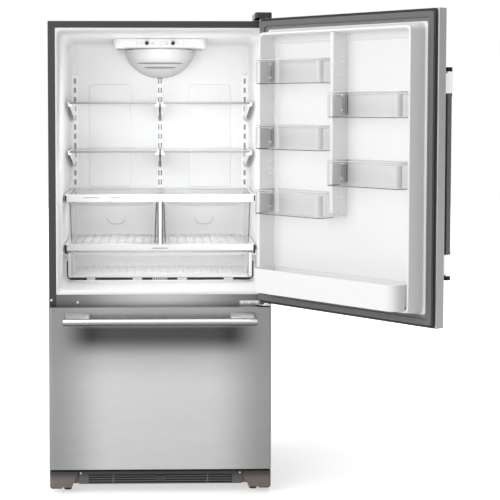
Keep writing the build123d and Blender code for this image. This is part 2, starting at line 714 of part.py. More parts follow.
def bin_lugs():
    """Two round lugs, one above the other, for each end of each bin."""
    with BuildPart() as lugs:
        rows = [(1, bottom) for bottom in HINGE_BIN_HEIGHTS]
        rows += [(-1, bottom) for bottom in FREE_BIN_HEIGHTS]
        for side, bottom in rows:
            upper = bottom + BIN_HEIGHT - LUG_TOP_DROP
            for z in (upper, upper - LUG_SPACING):
                # from inside the rim's wall, and from inside the rib
                for x, length in ((bin_end - LUG_LENGTH, 14), (bin_start + LUG_LENGTH, -8)):
                    low, high = sorted((side * x, side * (x + length)))
                    with Locations(((low + high) / 2, LUG_DEPTH, z)):
                        Cylinder(LUG_DIAMETER / 2, high - low, rotation=(0, 90, 0))
        for side in (-1, 1):
            upper = GALLON_BIN_BOTTOM + GALLON_BIN_HEIGHT - LUG_TOP_DROP
            for z in (upper, upper - LUG_SPACING):
                with Locations((side * (bin_end - LUG_LENGTH + 7), LUG_DEPTH, z)):
                    Cylinder(LUG_DIAMETER / 2, 14, rotation=(0, 90, 0))
    return lugs


with BuildPart() as door_liner:
    with BuildSketch(at_depth(PANEL_BACK - LINER)):
        with Locations((0, (DOOR_BOTTOM + DOOR_TOP) / 2)):
            Rectangle(
                DOOR_WIDTH - 2 * DOOR_RETURN - 0.2,
                DOOR_TOP - DOOR_BOTTOM - 2 * DOOR_RETURN - 0.2,
            )
    extrude(amount=-LINER)
    add(
        tapered(
            PANEL_BACK - 0.5 * LINER, rim_top_y, rim_half, rim_low, rim_high, RIM_DRAFT, RIM_RADIUS
        ).part
    )
    add(recess(LINER).part)
    add(recess(0).part, mode=Mode.SUBTRACT)
    add(centre_rib(0).part)
    add(bin_lugs().part)
    add(door_foam.part, mode=Mode.SUBTRACT)
    block(
        (-DOOR_HALF, DOOR_HALF),
        (rim_top_y, rim_top_y + 20),
        (DOOR_BOTTOM, DOOR_TOP),
        mode=Mode.SUBTRACT,
    )

door_gasket = panel_gasket(DOOR_BOTTOM, DOOR_TOP)

drawer_skin = panel_skin(DRAWER_BOTTOM, DRAWER_TOP)
drawer_gasket = panel_gasket(DRAWER_BOTTOM, DRAWER_TOP)
PLUG_HALF = FREEZER_HALF_WIDTH - 10
PLUG_DEPTH = 25.0  # raised part of the drawer's inner panel
plug_low = FREEZER_FLOOR + 14
plug_high = FREEZER_CEILING - 14

with BuildPart() as drawer_foam:
    add(panel_foam(DRAWER_BOTTOM, DRAWER_TOP).part)
    add(
        tapered(
            PANEL_BACK - LINER,
            PANEL_BACK + PLUG_DEPTH - LINER,
            PLUG_HALF - LINER,
            plug_low + LINER,
            plug_high - LINER,
            3,
            10,
        ).part
    )

with BuildPart() as drawer_liner:
    with BuildSketch(at_depth(PANEL_BACK - LINER)):
        with Locations((0, (DRAWER_BOTTOM + DRAWER_TOP) / 2)):
            Rectangle(
                DOOR_WIDTH - 2 * DOOR_RETURN - 0.2,
                DRAWER_TOP - DRAWER_BOTTOM - 2 * DOOR_RETURN - 0.2,
            )
    extrude(amount=-LINER)
    plug_face = PANEL_BACK + PLUG_DEPTH
    add(tapered(PANEL_BACK - 1, plug_face, PLUG_HALF, plug_low, plug_high, 3, 12).part)
    add(drawer_foam.part, mode=Mode.SUBTRACT)

# ---------------------------------------------------------------- bar handles


def bar_handle(length, flip):
    """A round bar along Z from z = 0, in end sleeves on two posts that run back by the standoff."""
    with BuildPart() as handle:
        with Locations((0, 0, SLEEVE_LENGTH)):
            Cylinder(
                BAR_DIAMETER / 2,
                length - 2 * SLEEVE_LENGTH,
                align=(Align.CENTER, Align.CENTER, Align.MIN),
            )
        lower = (0, POST_INSET)
        upper = (length - SLEEVE_LENGTH, length - POST_INSET - POST_LENGTH)
        for sleeve_low, post_low in (lower, upper):
            with BuildPart(mode=Mode.PRIVATE) as mount:
                with Locations((0, 0, sleeve_low)):
                    Cylinder(
                        SLEEVE_DIAMETER / 2,
                        SLEEVE_LENGTH,
                        align=(Align.CENTER, Align.CENTER, Align.MIN),
                    )
                chamfer(mount.edges().filter_by(GeomType.CIRCLE), 1.2)
                block(
                    (-POST_WIDTH / 2, POST_WIDTH / 2),
                    (0, BAR_STANDOFF),
                    (post_low, post_low + POST_LENGTH),
                )
                fillet(mount.edges().filter_by(Axis.Y), 5)
            add(mount.part)
    return handle.part if not flip else handle.part.rotate(Axis.Y, 90)


with BuildPart() as door_handle:
    door_bar_place = Location((-DOOR_HALF + DOOR_BAR_INSET, BAR_Y, DOOR_BAR_BOTTOM))
    add(bar_handle(DOOR_BAR_LENGTH, False).move(door_bar_place))

with BuildPart() as drawer_handle:
    add(
        bar_handle(DRAWER_BAR_LENGTH, True).move(
            Location((-DRAWER_BAR_LENGTH / 2, BAR_Y, DRAWER_TOP - DRAWER_BAR_DROP))
        )
    )

# ---------------------------------------------------------------- shelf tracks and shelves

with BuildPart() as shelf_tracks:
    top_row = FIRST_SLOT + (SLOT_ROWS - 1) * SLOT_PITCH
    for x, width, columns in (
        (-SIDE_TRACK_X, SIDE_TRACK_WIDTH, (0,)),
        (0, CENTRE_TRACK_WIDTH, (-CENTRE_SLOT_X, CENTRE_SLOT_X)),
        (SIDE_TRACK_X, SIDE_TRACK_WIDTH, (0,)),
    ):
        track_top = top_row + (SIDE_TRACK_END if x else CENTRE_TRACK_END)
        block(
            (x - width / 2, x + width / 2),
            (TRACK_FACE, COMPARTMENT_DEPTH),
            (TRACK_BOTTOM, track_top),
        )
        block(
            (x - width / 2 + TRACK_METAL, x + width / 2 - TRACK_METAL),
            (TRACK_FACE + TRACK_METAL, COMPARTMENT_DEPTH),
            (TRACK_BOTTOM, track_top),
            mode=Mode.SUBTRACT,
        )
        for row in range(SLOT_ROWS):
            z = FIRST_SLOT + row * SLOT_PITCH
            for column in columns:
                block(
                    (x + column - SLOT_WIDTH / 2, x + column + SLOT_WIDTH / 2),
                    (TRACK_FACE - 1, TRACK_FACE + TRACK_METAL + 1),
                    (z - SLOT_HEIGHT / 2, z + SLOT_HEIGHT / 2),
                    mode=Mode.SUBTRACT,
                )

PANE_EDGE = 9.0  # frame edge to the pane
PANE_PLAY = 0.2


def shelf(row):
    """The right-hand cantilever shelf hooked on a row of slots: its frame and its pane."""
    top = FIRST_SLOT + row * SLOT_PITCH + HOOK_DROP
    under = top - SHELF_FRAME_HEIGHT
    back = TRACK_FACE - 1
    with BuildPart() as frame:
        block((SHELF_GAP, SHELF_REACH), (SHELF_FRONT, back), (under, top))
        fillet(frame.edges().filter_by(Axis.X).group_by(Axis.Y)[0], 2.5)
        block(
            (SHELF_GAP + PANE_EDGE, SHELF_REACH - PANE_EDGE),
            (SHELF_FRONT + PANE_EDGE, back - PANE_EDGE),
            (top - GLASS, top),
            mode=Mode.SUBTRACT,
        )
        block(
            (SHELF_GAP + PANE_EDGE + 7, SHELF_REACH - PANE_EDGE - 7),
            (SHELF_FRONT + PANE_EDGE + 7, back - PANE_EDGE - 7),
            (under, top),
            mode=Mode.SUBTRACT,
        )
        for x in (CENTRE_SLOT_X, SIDE_TRACK_X):
            with BuildSketch(Plane.YZ.offset(x - ARM_METAL / 2)):
                Polygon(
                    (SHELF_FRONT + 4, top - ARM_FRONT),
                    (SHELF_FRONT + 4, under + 1),
                    (TRACK_FACE, under + 1),
                    (TRACK_FACE, top - ARM_DROP),
                    (TRACK_FACE - 12, top - ARM_DROP),
                    align=None,
                )
                # hooks in two slots
                for drop in (HOOK_DROP, HOOK_DROP + SLOT_PITCH):
                    with Locations((TRACK_FACE + 1.5, top - drop)):
                        Rectangle(4.4, 14)
                    with Locations((TRACK_FACE + 3, top - drop - 3)):
                        Rectangle(2, 14)
            extrude(amount=ARM_METAL)
        # brackets that hold the rail on the arms' front ends
        for x in (SHELF_GAP, SHELF_REACH - 14):
            block((x, x + 14), (SHELF_FRONT + 3, SHELF_FRONT + 24), (top - ARM_FRONT, under + 1))
    with BuildPart() as pane:
        block(
            (SHELF_GAP + PANE_EDGE + PANE_PLAY, SHELF_REACH - PANE_EDGE - PANE_PLAY),
            (SHELF_FRONT + PANE_EDGE + PANE_PLAY, back - PANE_EDGE - PANE_PLAY),
            (top - GLASS, top),
        )
    return frame, pane


def mirrored(piece):
    with BuildPart() as twin:
        mirror(piece.part, about=Plane.YZ)
    return twin


upper_right_shelf, upper_pane = shelf(UPPER_SHELF_ROW)
lower_right_shelf, lower_pane = shelf(LOWER_SHELF_ROW)


def with_twin(piece):
    """A piece together with its mirror image on the other side of the cabinet."""
    with BuildPart() as both:
        add(piece.part)
        mirror(piece.part, about=Plane.YZ)
    return both


upper_shelf_frames = with_twin(upper_right_shelf)
lower_shelf_frames = with_twin(lower_right_shelf)

# ---------------------------------------------------------------- crisper and pantry covers

RAIL_FOOT = CRISPER_COVER_TOP - CRISPER_TRIM
HUMIDITY_X = 155.0  # slide's place at rest
HUMIDITY_Z = RAIL_FOOT + 9.0
COVER_TRIM_DEPTH = 8.0

with BuildPart() as crisper_cover:
    across = (-COVER_REACH, COVER_REACH)
    along = (COVER_FRONT, COVER_BACK)
    trim_back = COVER_FRONT + COVER_TRIM_DEPTH
    block(across, along, (CRISPER_COVER_TOP - 12, CRISPER_COVER_TOP))
    fillet(crisper_cover.edges().filter_by(Axis.X).group_by(Axis.Y)[0].sort_by(Axis.Z)[-1], 4)
    block(across, (COVER_FRONT, trim_back), (RAIL_FOOT, CRISPER_COVER_TOP - 12))
    pair((LEDGE_INNER + 1, COVER_REACH), along, (RAIL_FOOT, CRISPER_COVER_TOP - 12))
    block(
        (-COVER_REACH + 14, COVER_REACH - 14),
        (COVER_FRONT + 12, COVER_BACK - 14),
        (CRISPER_COVER_TOP - GLASS, CRISPER_COVER_TOP),
        mode=Mode.SUBTRACT,
    )
    pair(
        (18, COVER_REACH - 22),
        (COVER_FRONT + 20, COVER_BACK - 22),
        (CRISPER_COVER_TOP - 13, CRISPER_COVER_TOP),
        mode=Mode.SUBTRACT,
    )
    # centre support between the crispers
    block((-6, 6), (COVER_FRONT + 2, COVER_BACK - 4), (PANTRY_COVER_TOP, CRISPER_COVER_TOP - 12))
    # slots for the humidity slides
    pair(
        (HUMIDITY_X - 4.5, HUMIDITY_X + HUMIDITY_TRAVEL + 4.5),
        (COVER_FRONT - 1, COVER_FRONT + COVER_TRIM_DEPTH + 1),
        (HUMIDITY_Z - 2.3, HUMIDITY_Z + 2.3),
        mode=Mode.SUBTRACT,
    )

with BuildPart() as glass_panes:
    for pane in (upper_pane, lower_pane):
        add(pane.part)
        mirror(pane.part, about=Plane.YZ)
    block(
        (-COVER_REACH + 14 + PANE_PLAY, COVER_REACH - 14 - PANE_PLAY),
        (COVER_FRONT + 12 + PANE_PLAY, COVER_BACK - 14 - PANE_PLAY),
        (CRISPER_COVER_TOP - GLASS, CRISPER_COVER_TOP),
    )


def humidity_slide(side):
    """A slide knob in front of the trim, on a stem through its slot."""
    with BuildPart() as slide:
        centre = side * HUMIDITY_X if side > 0 else -(HUMIDITY_X + HUMIDITY_TRAVEL)
        face = COVER_FRONT - 0.3
        block((centre - 9, centre + 9), (COVER_FRONT - 6, face), (HUMIDITY_Z - 6, HUMIDITY_Z + 6))
        fillet(slide.edges().filter_by(Axis.Z).group_by(Axis.Y)[0], 3)
        block((centre - 4, centre + 4), (face, trim_back + 2), (HUMIDITY_Z - 2, HUMIDITY_Z + 2))
    return slide


humidity_right = humidity_slide(1)
humidity_left = humidity_slide(-1)

RUNNER = CRISPER_BOTTOM - PANTRY_COVER_TOP - SLIDE_PLAY

with BuildPart() as pantry_cover:
    plate_low = PANTRY_COVER_TOP - 4
    trim_low = PANTRY_COVER_TOP - PANTRY_TRIM
    block(across, along, (plate_low, PANTRY_COVER_TOP))
    block(across, (COVER_FRONT, trim_back), (trim_low, plate_low))
    pair((LEDGE_INNER + 1, COVER_REACH), along, (trim_low, plate_low))
    for x in (CRISPER_INNER + 50, CRISPER_OUTER - 54):
        pair(
            (x, x + 4),
            (COVER_FRONT + 6, COVER_BACK - 8),
            (PANTRY_COVER_TOP, PANTRY_COVER_TOP + RUNNER),
        )


def handle_lip(piece_half, centre_x, front, top):
    """A curled lip along the top of a tub's front wall."""
    with BuildPart() as lip:
        with BuildSketch(Plane.YZ.offset(centre_x - piece_half)):
            Polygon(
                (front + 1, top),
                (front - 9, top - 1),
                (front - 11, top - 14),
                (front - 8.6, top - 14.6),
                (front - 6.6, top - 3.4),
                (front + 1, top - 2.6),
                align=None,
            )
        extrude(amount=2 * piece_half)
        # its lower edge bows down towards the middle
        with BuildSketch(at_depth(front + 2)):
            with BuildLine():
                left = (centre_x - piece_half, top - 9)
                right = (centre_x + piece_half, top - 9)
                ThreePointArc(left, (centre_x, top - 15), right)
                Polyline(right, (right[0], top + 1), (left[0], top + 1), left)
            make_face()
        extrude(amount=20, mode=Mode.INTERSECT)
    return lip


def crisper():
    """The right-hand crisper: a clear tub with a curled lip along its front."""
    centre_x = (CRISPER_INNER + CRISPER_OUTER) / 2
    centre_y = (CRISPER_FRONT + CRISPER_BACK) / 2
    half_x = (CRISPER_OUTER - CRISPER_INNER) / 2
    half_y = (CRISPER_BACK - CRISPER_FRONT) / 2
    with BuildPart() as drawer:
        add(tub(half_x, half_y, (centre_x, centre_y), CRISPER_BOTTOM, CRISPER_TOP).part)
        add(handle_lip(half_x - 16, centre_x, CRISPER_FRONT, CRISPER_TOP).part)
    return drawer


crisper_right = crisper()
crisper_left = mirrored(crisper_right)

with BuildPart() as pantry_drawer:
    pantry_half = (CRISPER_BACK - CRISPER_FRONT) / 2
    pantry_centre = (0, (CRISPER_FRONT + CRISPER_BACK) / 2)
    add(tub(PANTRY_REACH, pantry_half, pantry_centre, PANTRY_BOTTOM, PANTRY_TOP).part)
    add(handle_lip(PANTRY_REACH - 20, 0, CRISPER_FRONT, PANTRY_TOP).part)
    pair(
        (PANTRY_REACH - 1.5, PANTRY_REACH + 10.5),
        (CRISPER_FRONT + 14, CRISPER_BACK - 14),
        (PANTRY_TOP - 3, PANTRY_TOP),
    )

# ---------------------------------------------------------------- control housing and diffuser

LAMP_Y = COMPARTMENT_DEPTH - 107.0

with BuildPart() as control_housing:
    back = COMPARTMENT_DEPTH - SLIDE_PLAY
    with BuildSketch(Plane.YZ):
        Polygon(
            (HOUSING_FRONT, HOUSING_BOTTOM),
            (HOUSING_FRONT, ceiling(HOUSING_FRONT) - SLIDE_PLAY),
            (back, ceiling(back) - SLIDE_PLAY),
            (back, HOUSING_BOTTOM),
            align=None,
        )
    extrude(amount=HOUSING_HALF_WIDTH, both=True)
    fillet(control_housing.edges().filter_by(Axis.Z).group_by(Axis.Y)[0], 14)
    with BuildSketch(Plane.YZ):
        Polygon(
            (HOUSING_FRONT + HOUSING_WALL, HOUSING_BOTTOM),
            (HOUSING_FRONT + HOUSING_WALL, ceiling(HOUSING_FRONT) - 3.5),
            (back - HOUSING_WALL, ceiling(back) - 3.5),
            (back - HOUSING_WALL, HOUSING_BOTTOM),
            align=None,
        )
    extrude(amount=HOUSING_HALF_WIDTH - 12, both=True, mode=Mode.SUBTRACT)
    block((-95, 95), (HOUSING_FRONT - 2.5, HOUSING_FRONT + 1), (HOUSING_BOTTOM + 4, HOUSING_BOTTOM + 36))
    for x in (-KNOB_X, KNOB_X):
        with Locations((x, HOUSING_FRONT + 6, KNOB_HEIGHT)):
            Cylinder(7, 12, rotation=(90, 0, 0))
            Cylinder(SHAFT_DIAMETER / 2 + PIN_CLEARANCE, 30, rotation=(90, 0, 0), mode=Mode.SUBTRACT)
    button_hole = BUTTON_SIZE / 2 + 0.3
    block(
        (-button_hole, button_hole),
        (HOUSING_FRONT - 5, HOUSING_FRONT + 4),
        (KNOB_HEIGHT - button_hole, KNOB_HEIGHT + button_hole),
        mode=Mode.SUBTRACT,
    )
    # lampholder with its lamp
    with Locations((0, LAMP_Y, HOUSING_BOTTOM - 4)):
        Cylinder(16, 36, align=(Align.CENTER, Align.CENTER, Align.MIN))
    with BuildPart(mode=Mode.PRIVATE) as lamp:
        with Locations((0, LAMP_Y, HOUSING_BOTTOM - 33)):
            Cylinder(23, 14, align=(Align.CENTER, Align.CENTER, Align.MIN))
        # drop of the lower end below the housing, both radii and the height
        shoulder = (19, 23, 12, 15)
        tip = (60, 9, 23, 27)
        for drop, lower, upper, height in (shoulder, tip):
            with Locations((0, LAMP_Y, HOUSING_BOTTOM - drop)):
                Cone(lower, upper, height, align=(Align.CENTER, Align.CENTER, Align.MIN))
    add(lamp.part)


def temperature_knob(x):
    """A round knob with a grip bar, on a shaft through the housing's front."""
    with BuildPart() as knob:
        with Locations((x, HOUSING_FRONT - 7.3, KNOB_HEIGHT)):
            Cylinder(KNOB_DIAMETER / 2, 9, rotation=(90, 0, 0))
        block(
            (x - 1.6, x + 1.6),
            (HOUSING_FRONT - 15, HOUSING_FRONT - 11),
            (KNOB_HEIGHT - 6.5, KNOB_HEIGHT + 6.5),
        )
        with Locations((x, HOUSING_FRONT + 3.5, KNOB_HEIGHT)):
            Cylinder(SHAFT_DIAMETER / 2, 14, rotation=(90, 0, 0))
    return knob


knob_left = temperature_knob(-KNOB_X)
knob_right = temperature_knob(KNOB_X)

with BuildPart() as light_switch:
    half_button = BUTTON_SIZE / 2
    block(
        (-half_button, half_button),
        (HOUSING_FRONT - 7, HOUSING_FRONT + 6),
        (KNOB_HEIGHT - half_button, KNOB_HEIGHT + half_button),
    )
    fillet(light_switch.edges().group_by(Axis.Y)[0], 1)
    stop = half_button + 2
    block(
        (-stop, stop),
        (HOUSING_FRONT + 4.3, HOUSING_FRONT + 6),
        (KNOB_HEIGHT - stop, KNOB_HEIGHT + stop),
    )

# half ellipses from the housing down: height below it, half width, reach from the wall
BOWL = (
    (0, 144, 210),
    (16, 142, 205),
    (34, 135, 193),
    (54, 121, 171),
    (74, 100, 142),
    (92, 73, 105),
    (105, 46, 68),
    (DIFFUSER_DROP, 25, 38),
)
LOUVRES = ((55, 92), (72, 66))  # depth below the housing and half width


def bowl(wall):
    """The half bowl, with its sides moved in by a wall."""
    with BuildPart() as body:
        for drop, half, reach in BOWL:
            lift = wall if drop > 100 else (0 if drop else 1)
            with BuildSketch(at_height(HOUSING_BOTTOM - 0.3 - drop + (lift if wall else 0))):
                with Locations((0, COMPARTMENT_DEPTH - 0.5)):
                    Ellipse(half - wall, reach - wall)
                    Rectangle(2 * half, reach, align=(Align.CENTER, Align.MIN), mode=Mode.SUBTRACT)
        loft(ruled=True)
    return body


with BuildPart() as light_diffuser:
    add(bowl(0).part)
    add(bowl(DIFFUSER_WALL).part, mode=Mode.SUBTRACT)
    block(
        (-150, 150),
        (COMPARTMENT_DEPTH - 217, COMPARTMENT_DEPTH + 3),
        (HOUSING_BOTTOM - 0.3, HOUSING_BOTTOM + 5),
        mode=Mode.SUBTRACT,
    )
    for drop, half in LOUVRES:
        block(
            (-half, half),
            (COMPARTMENT_DEPTH - 217, COMPARTMENT_DEPTH - 97),
            (HOUSING_BOTTOM - drop - 2, HOUSING_BOTTOM - drop + 2),
            mode=Mode.SUBTRACT,
        )

# ---------------------------------------------------------------- door bins


def door_bin(side, bottom):
    """A clear bin whose grooved ends drop over the door's lugs."""
    start, end = sorted((side * bin_start, side * bin_end))
    back = recess_floor_y + 1
    front = back + BIN_DEPTH
    with BuildPart() as body:
        with BuildSketch(at_height(bottom)) as plan:
            with Locations(((start + end) / 2, (back + front) / 2)):
                Rectangle(end - start, front - back)
            fillet(plan.vertices().group_by(Axis.Y)[-1], BIN_CORNER)
        extrude(amount=BIN_HEIGHT)
        bottom_loop = body.edges().group_by(Axis.Z)[0]
        fillet(bottom_loop.filter_by(lambda e: e.center().Y > back + 1), BIN_FILLET)
        with BuildPart(mode=Mode.SUBTRACT) as inside:
            with BuildSketch(at_height(bottom + BIN_WALL)) as hollow:
                with Locations(((start + end) / 2, (back + front) / 2)):
                    Rectangle(end - start - 2 * (BIN_PAD + BIN_WALL), front - back - 2 * BIN_WALL)
                fillet(hollow.vertices().group_by(Axis.Y)[-1], BIN_CORNER - BIN_PAD)
            extrude(amount=BIN_HEIGHT)
            fillet(inside.edges().group_by(Axis.Z)[0], BIN_FILLET - BIN_WALL)
        groove_top = bottom + BIN_HEIGHT - LUG_TOP_DROP + LUG_DIAMETER / 2 + LUG_CLEARANCE
        groove = LUG_DIAMETER / 2 + LUG_CLEARANCE
        for x in (start, end):
            block(
                (x - LUG_LENGTH - 1, x + LUG_LENGTH + 1),
                (LUG_DEPTH - groove, LUG_DEPTH + groove),
                (bottom - 1, groove_top),
                mode=Mode.SUBTRACT,
            )
    return body


door_bins = [door_bin(1, bottom) for bottom in HINGE_BIN_HEIGHTS]
door_bins += [door_bin(-1, bottom) for bottom in FREE_BIN_HEIGHTS]

with BuildPart() as gallon_bin:
    gallon_back = recess_floor_y + 1
    gallon_front = gallon_back + GALLON_BIN_DEPTH
    gallon_centre = (gallon_back + gallon_front) / 2
    with BuildSketch(at_height(GALLON_BIN_BOTTOM)) as plan:
        with Locations((0, gallon_centre)):
            Rectangle(2 * bin_end, GALLON_BIN_DEPTH)
        fillet(plan.vertices().group_by(Axis.Y)[-1], GALLON_CORNER)
    extrude(amount=GALLON_BIN_HEIGHT)
    fillet(gallon_bin.edges().group_by(Axis.Z)[0].filter_by(Axis.Y), 8)
    with BuildSketch(at_height(GALLON_BIN_BOTTOM - GALLON_APRON)) as apron:
        with Locations((0, gallon_centre)):
            Rectangle(2 * bin_end, GALLON_BIN_DEPTH)
        fillet(apron.vertices().group_by(Axis.Y)[-1], GALLON_CORNER)
        with Locations((0, rim_top_y + 2)):
            Rectangle(2 * bin_end, 200, align=(Align.CENTER, Align.MAX), mode=Mode.SUBTRACT)
    extrude(amount=GALLON_APRON + 9)
    with BuildSketch(at_height(GALLON_BIN_BOTTOM + BIN_WALL)) as hollow:
        with Locations((0, gallon_centre)):
            Rectangle(2 * (bin_end - BIN_PAD - BIN_WALL), GALLON_BIN_DEPTH - 2 * BIN_WALL)
        fillet(hollow.vertices().group_by(Axis.Y)[-1], GALLON_CORNER - BIN_PAD)
    extrude(amount=GALLON_BIN_HEIGHT, mode=Mode.SUBTRACT)
    gallon_groove = LUG_DIAMETER / 2 + LUG_CLEARANCE
    gallon_groove_top = GALLON_BIN_BOTTOM + GALLON_BIN_HEIGHT - LUG_TOP_DROP + gallon_groove
    pair(
        (bin_end - LUG_LENGTH - 1, bin_end + 1),
        (LUG_DEPTH - gallon_groove, LUG_DEPTH + gallon_groove),
        (GALLON_BIN_BOTTOM - 1, gallon_groove_top),
        mode=Mode.SUBTRACT,
    )

# ---------------------------------------------------------------- freezer drawer slides and baskets

slide_low = SLIDE_CENTRE - SLIDE_HEIGHT / 2
slide_high = SLIDE_CENTRE + SLIDE_HEIGHT / 2
slide_run = (SLIDE_FRONT, SLIDE_FRONT + SLIDE_LENGTH)
wall_face = FREEZER_HALF_WIDTH - 0.2
OUTER_LIP = FREEZER_HALF_WIDTH - 10.0
INNER_WEB = FREEZER_HALF_WIDTH - 11.8
FRAME_PLATE = FREEZER_HALF_WIDTH - 13.8
MIDDLE_WEB = FREEZER_HALF_WIDTH - 5.4
LOWER_LEDGE = SLIDE_CENTRE + 17.0
UPPER_LEDGE = SLIDE_CENTRE + 64.0


def channel(web, lip, low, high):
    """A pair of channels along the slide's run: upright webs with a lip at top and bottom."""
    pair(web, slide_run, (low, high))
    pair(lip, slide_run, (low, low + SLIDE_METAL))
    pair(lip, slide_run, (high - SLIDE_METAL, high))


step = SLIDE_METAL + SLIDE_PLAY

with BuildPart() as outer_slides:
    channel((wall_face - SLIDE_METAL, wall_face), (OUTER_LIP, wall_face), slide_low, slide_high)

with BuildPart() as middle_slides:
    middle_outside = MIDDLE_WEB + SLIDE_METAL
    channel(
        (MIDDLE_WEB, middle_outside),
        (OUTER_LIP + 0.6, middle_outside),
        slide_low + step,
        slide_high - step,
    )

with BuildPart() as inner_slides:
    channel(
        (INNER_WEB, INNER_WEB + 2),
        (INNER_WEB, MIDDLE_WEB - 0.4),
        slide_low + 2 * step,
        slide_high - 2 * step,
    )
    frame_front = PANEL_BACK + PLUG_DEPTH
    # side plates of the drawer frame, fixed to the inner panel by their front flanges
    frame_foot = SLIDE_CENTRE - 122
    frame_head = UPPER_LEDGE + 4
    frame_back = slide_run[1]
    pair((FRAME_PLATE, INNER_WEB), (frame_front, 120), (frame_foot, frame_head))
    pair((FRAME_PLATE, INNER_WEB), (frame_front, frame_back), (slide_low + 2 * step, frame_head))
    pair((FRAME_PLATE - 24, INNER_WEB), (frame_front, frame_front + 2), (frame_foot, frame_head))
    # ledges for the two baskets
    for ledge in (LOWER_LEDGE, UPPER_LEDGE):
        pair((FRAME_PLATE - 10, FRAME_PLATE), (frame_front, slide_run[1]), (ledge, ledge + 2))

with BuildPart() as lower_basket:
    basket_back = FREEZER_STEP_FRONT - 12
    basket_half = (basket_back - SLIDE_FRONT) / 2
    basket_centre = (0, (basket_back + SLIDE_FRONT) / 2)
    basket_reach = FREEZER_HALF_WIDTH - 32
    basket_top = LOWER_LEDGE + 5
    add(
        tub(
            basket_reach, basket_half, basket_centre, FREEZER_FLOOR + 18, basket_top, 14, BASKET_WALL
        ).part
    )
    with BuildSketch(at_height(basket_top - 3)):
        with Locations(basket_centre):
            RectangleRounded(2 * (FRAME_PLATE - 0.5), 2 * basket_half, 6)
            RectangleRounded(2 * (basket_reach - 1), 2 * (basket_half - 1.5), 13, mode=Mode.SUBTRACT)
    extrude(amount=3)

with BuildPart() as upper_basket:
    upper_back = FREEZER_STEP_FRONT + 12
    upper_half = (upper_back - SLIDE_FRONT) / 2
    upper_centre = (0, (upper_back + SLIDE_FRONT) / 2)
    upper_bottom = UPPER_LEDGE + 2 + SLIDE_PLAY
    upper_reach = FREEZER_HALF_WIDTH - 17
    add(
        tub(
            upper_reach, upper_half, upper_centre, upper_bottom, FREEZER_CEILING - 90, 14, BASKET_WALL
        ).part
    )

# ---------------------------------------------------------------- base grille, covers, legs, rollers

with BuildPart() as base_grille:
    grille_face = -GRILLE_DEPTH
    block((-GRILLE_HALF_WIDTH, GRILLE_HALF_WIDTH), (grille_face, 0), (GRILLE_BOTTOM, GRILLE_TOP))
    fillet(base_grille.edges().filter_by(Axis.X).group_by(Axis.Y)[0].sort_by(Axis.Z)[-1], 4)
    block(
        (-GRILLE_HALF_WIDTH + 3, GRILLE_HALF_WIDTH - 3),
        (grille_face + 3, 1),
        (GRILLE_BOTTOM - 1, GRILLE_TOP - 3),
        mode=Mode.SUBTRACT,
    )
    slot_low = GRILLE_BOTTOM + 4
    slots_end = GRILLE_HALF_WIDTH - 36
    slots_bar = GRILLE_HALF_WIDTH - 126
    for row in range(SLAT_COUNT - 1):
        z = slot_low + row * SLAT_PITCH
        for low, high in ((-slots_end, -slots_bar), (6 - slots_bar, slots_bar - 6), (slots_bar, slots_end)):
            block(
                (low, high),
                (grille_face - 1, grille_face + 4),
                (z, z + SLAT_GAP),
                mode=Mode.SUBTRACT,
            )

with BuildPart() as foot_covers:
    for side in (-1, 1):
        with BuildSketch(at_depth(0)):
            Polygon(
                (side * FOOT_COVER_INNER, GRILLE_TOP),
                (side * (FOOT_COVER_INNER + 24), FOOT_COVER_BOTTOM),
                (side * (HALF - 1), FOOT_COVER_BOTTOM),
                (side * (HALF - 1), GRILLE_TOP),
                align=None,
            )
        extrude(amount=FOOT_COVER_DEPTH)
    fillet(foot_covers.edges().filter_by(Axis.Z).group_by(Axis.Y)[0], 8)
    for side in (-1, 1):
        with BuildSketch(at_depth(1)):
            Polygon(
                (side * (FOOT_COVER_INNER + 4.5), GRILLE_TOP - 2.5),
                (side * (FOOT_COVER_INNER + 27.5), FOOT_COVER_BOTTOM - 1),
                (side * (HALF - 10), FOOT_COVER_BOTTOM - 1),
                (side * (HALF - 10), GRILLE_TOP - 2.5),
                align=None,
            )
        extrude(amount=FOOT_COVER_DEPTH - 1.5, mode=Mode.SUBTRACT)
    # rounded lower part of each cover
    for side in (-1, 1):
        with BuildPart(mode=Mode.PRIVATE) as lobe:
            with BuildSketch(at_depth(-FOOT_COVER_DEPTH + 8)) as lobe_face:
                with Locations((side * (HALF - 26), FOOT_COVER_BOTTOM - FOOT_LOBE / 2 + 3)):
                    Rectangle(44, FOOT_LOBE + 6)
                fillet(lobe_face.vertices().group_by(Axis.Y)[0], 6)
            extrude(amount=-(FOOT_COVER_DEPTH - 10))
        add(lobe.part)


def levelling_leg(x):
    """A foot disc on a threaded rod that turns in its bracket."""
    with BuildPart() as leg:
        with Locations((x, LEG_Y, 0)):
            Cylinder(LEG_FOOT_RADIUS, 7, align=(Align.CENTER, Align.CENTER, Align.MIN))
            rod = DECK_HEIGHT - 1
            Cylinder(LEG_DIAMETER / 2, rod, align=(Align.CENTER, Align.CENTER, Align.MIN))
            with BuildSketch(at_height(7)):
                with Locations((x, LEG_Y)):
                    RegularPolygon(9, 6)
        extrude(amount=9)
    return leg


leg_left = levelling_leg(-LEG_X)
leg_right = levelling_leg(LEG_X)

with BuildPart() as rear_rollers:
    for side in (-1, 1):
        with Locations((side * ROLLER_X, ROLLER_Y, ROLLER_RADIUS)):
            Cylinder(ROLLER_RADIUS, ROLLER_WIDTH, rotation=(0, 90, 0))
            Cylinder(AXLE_DIAMETER / 2, ROLLER_WIDTH + 10, rotation=(0, 90, 0))

# ---------------------------------------------------------------- machine compartment

floor_z = BASE_PLATE_HEIGHT + SHEET

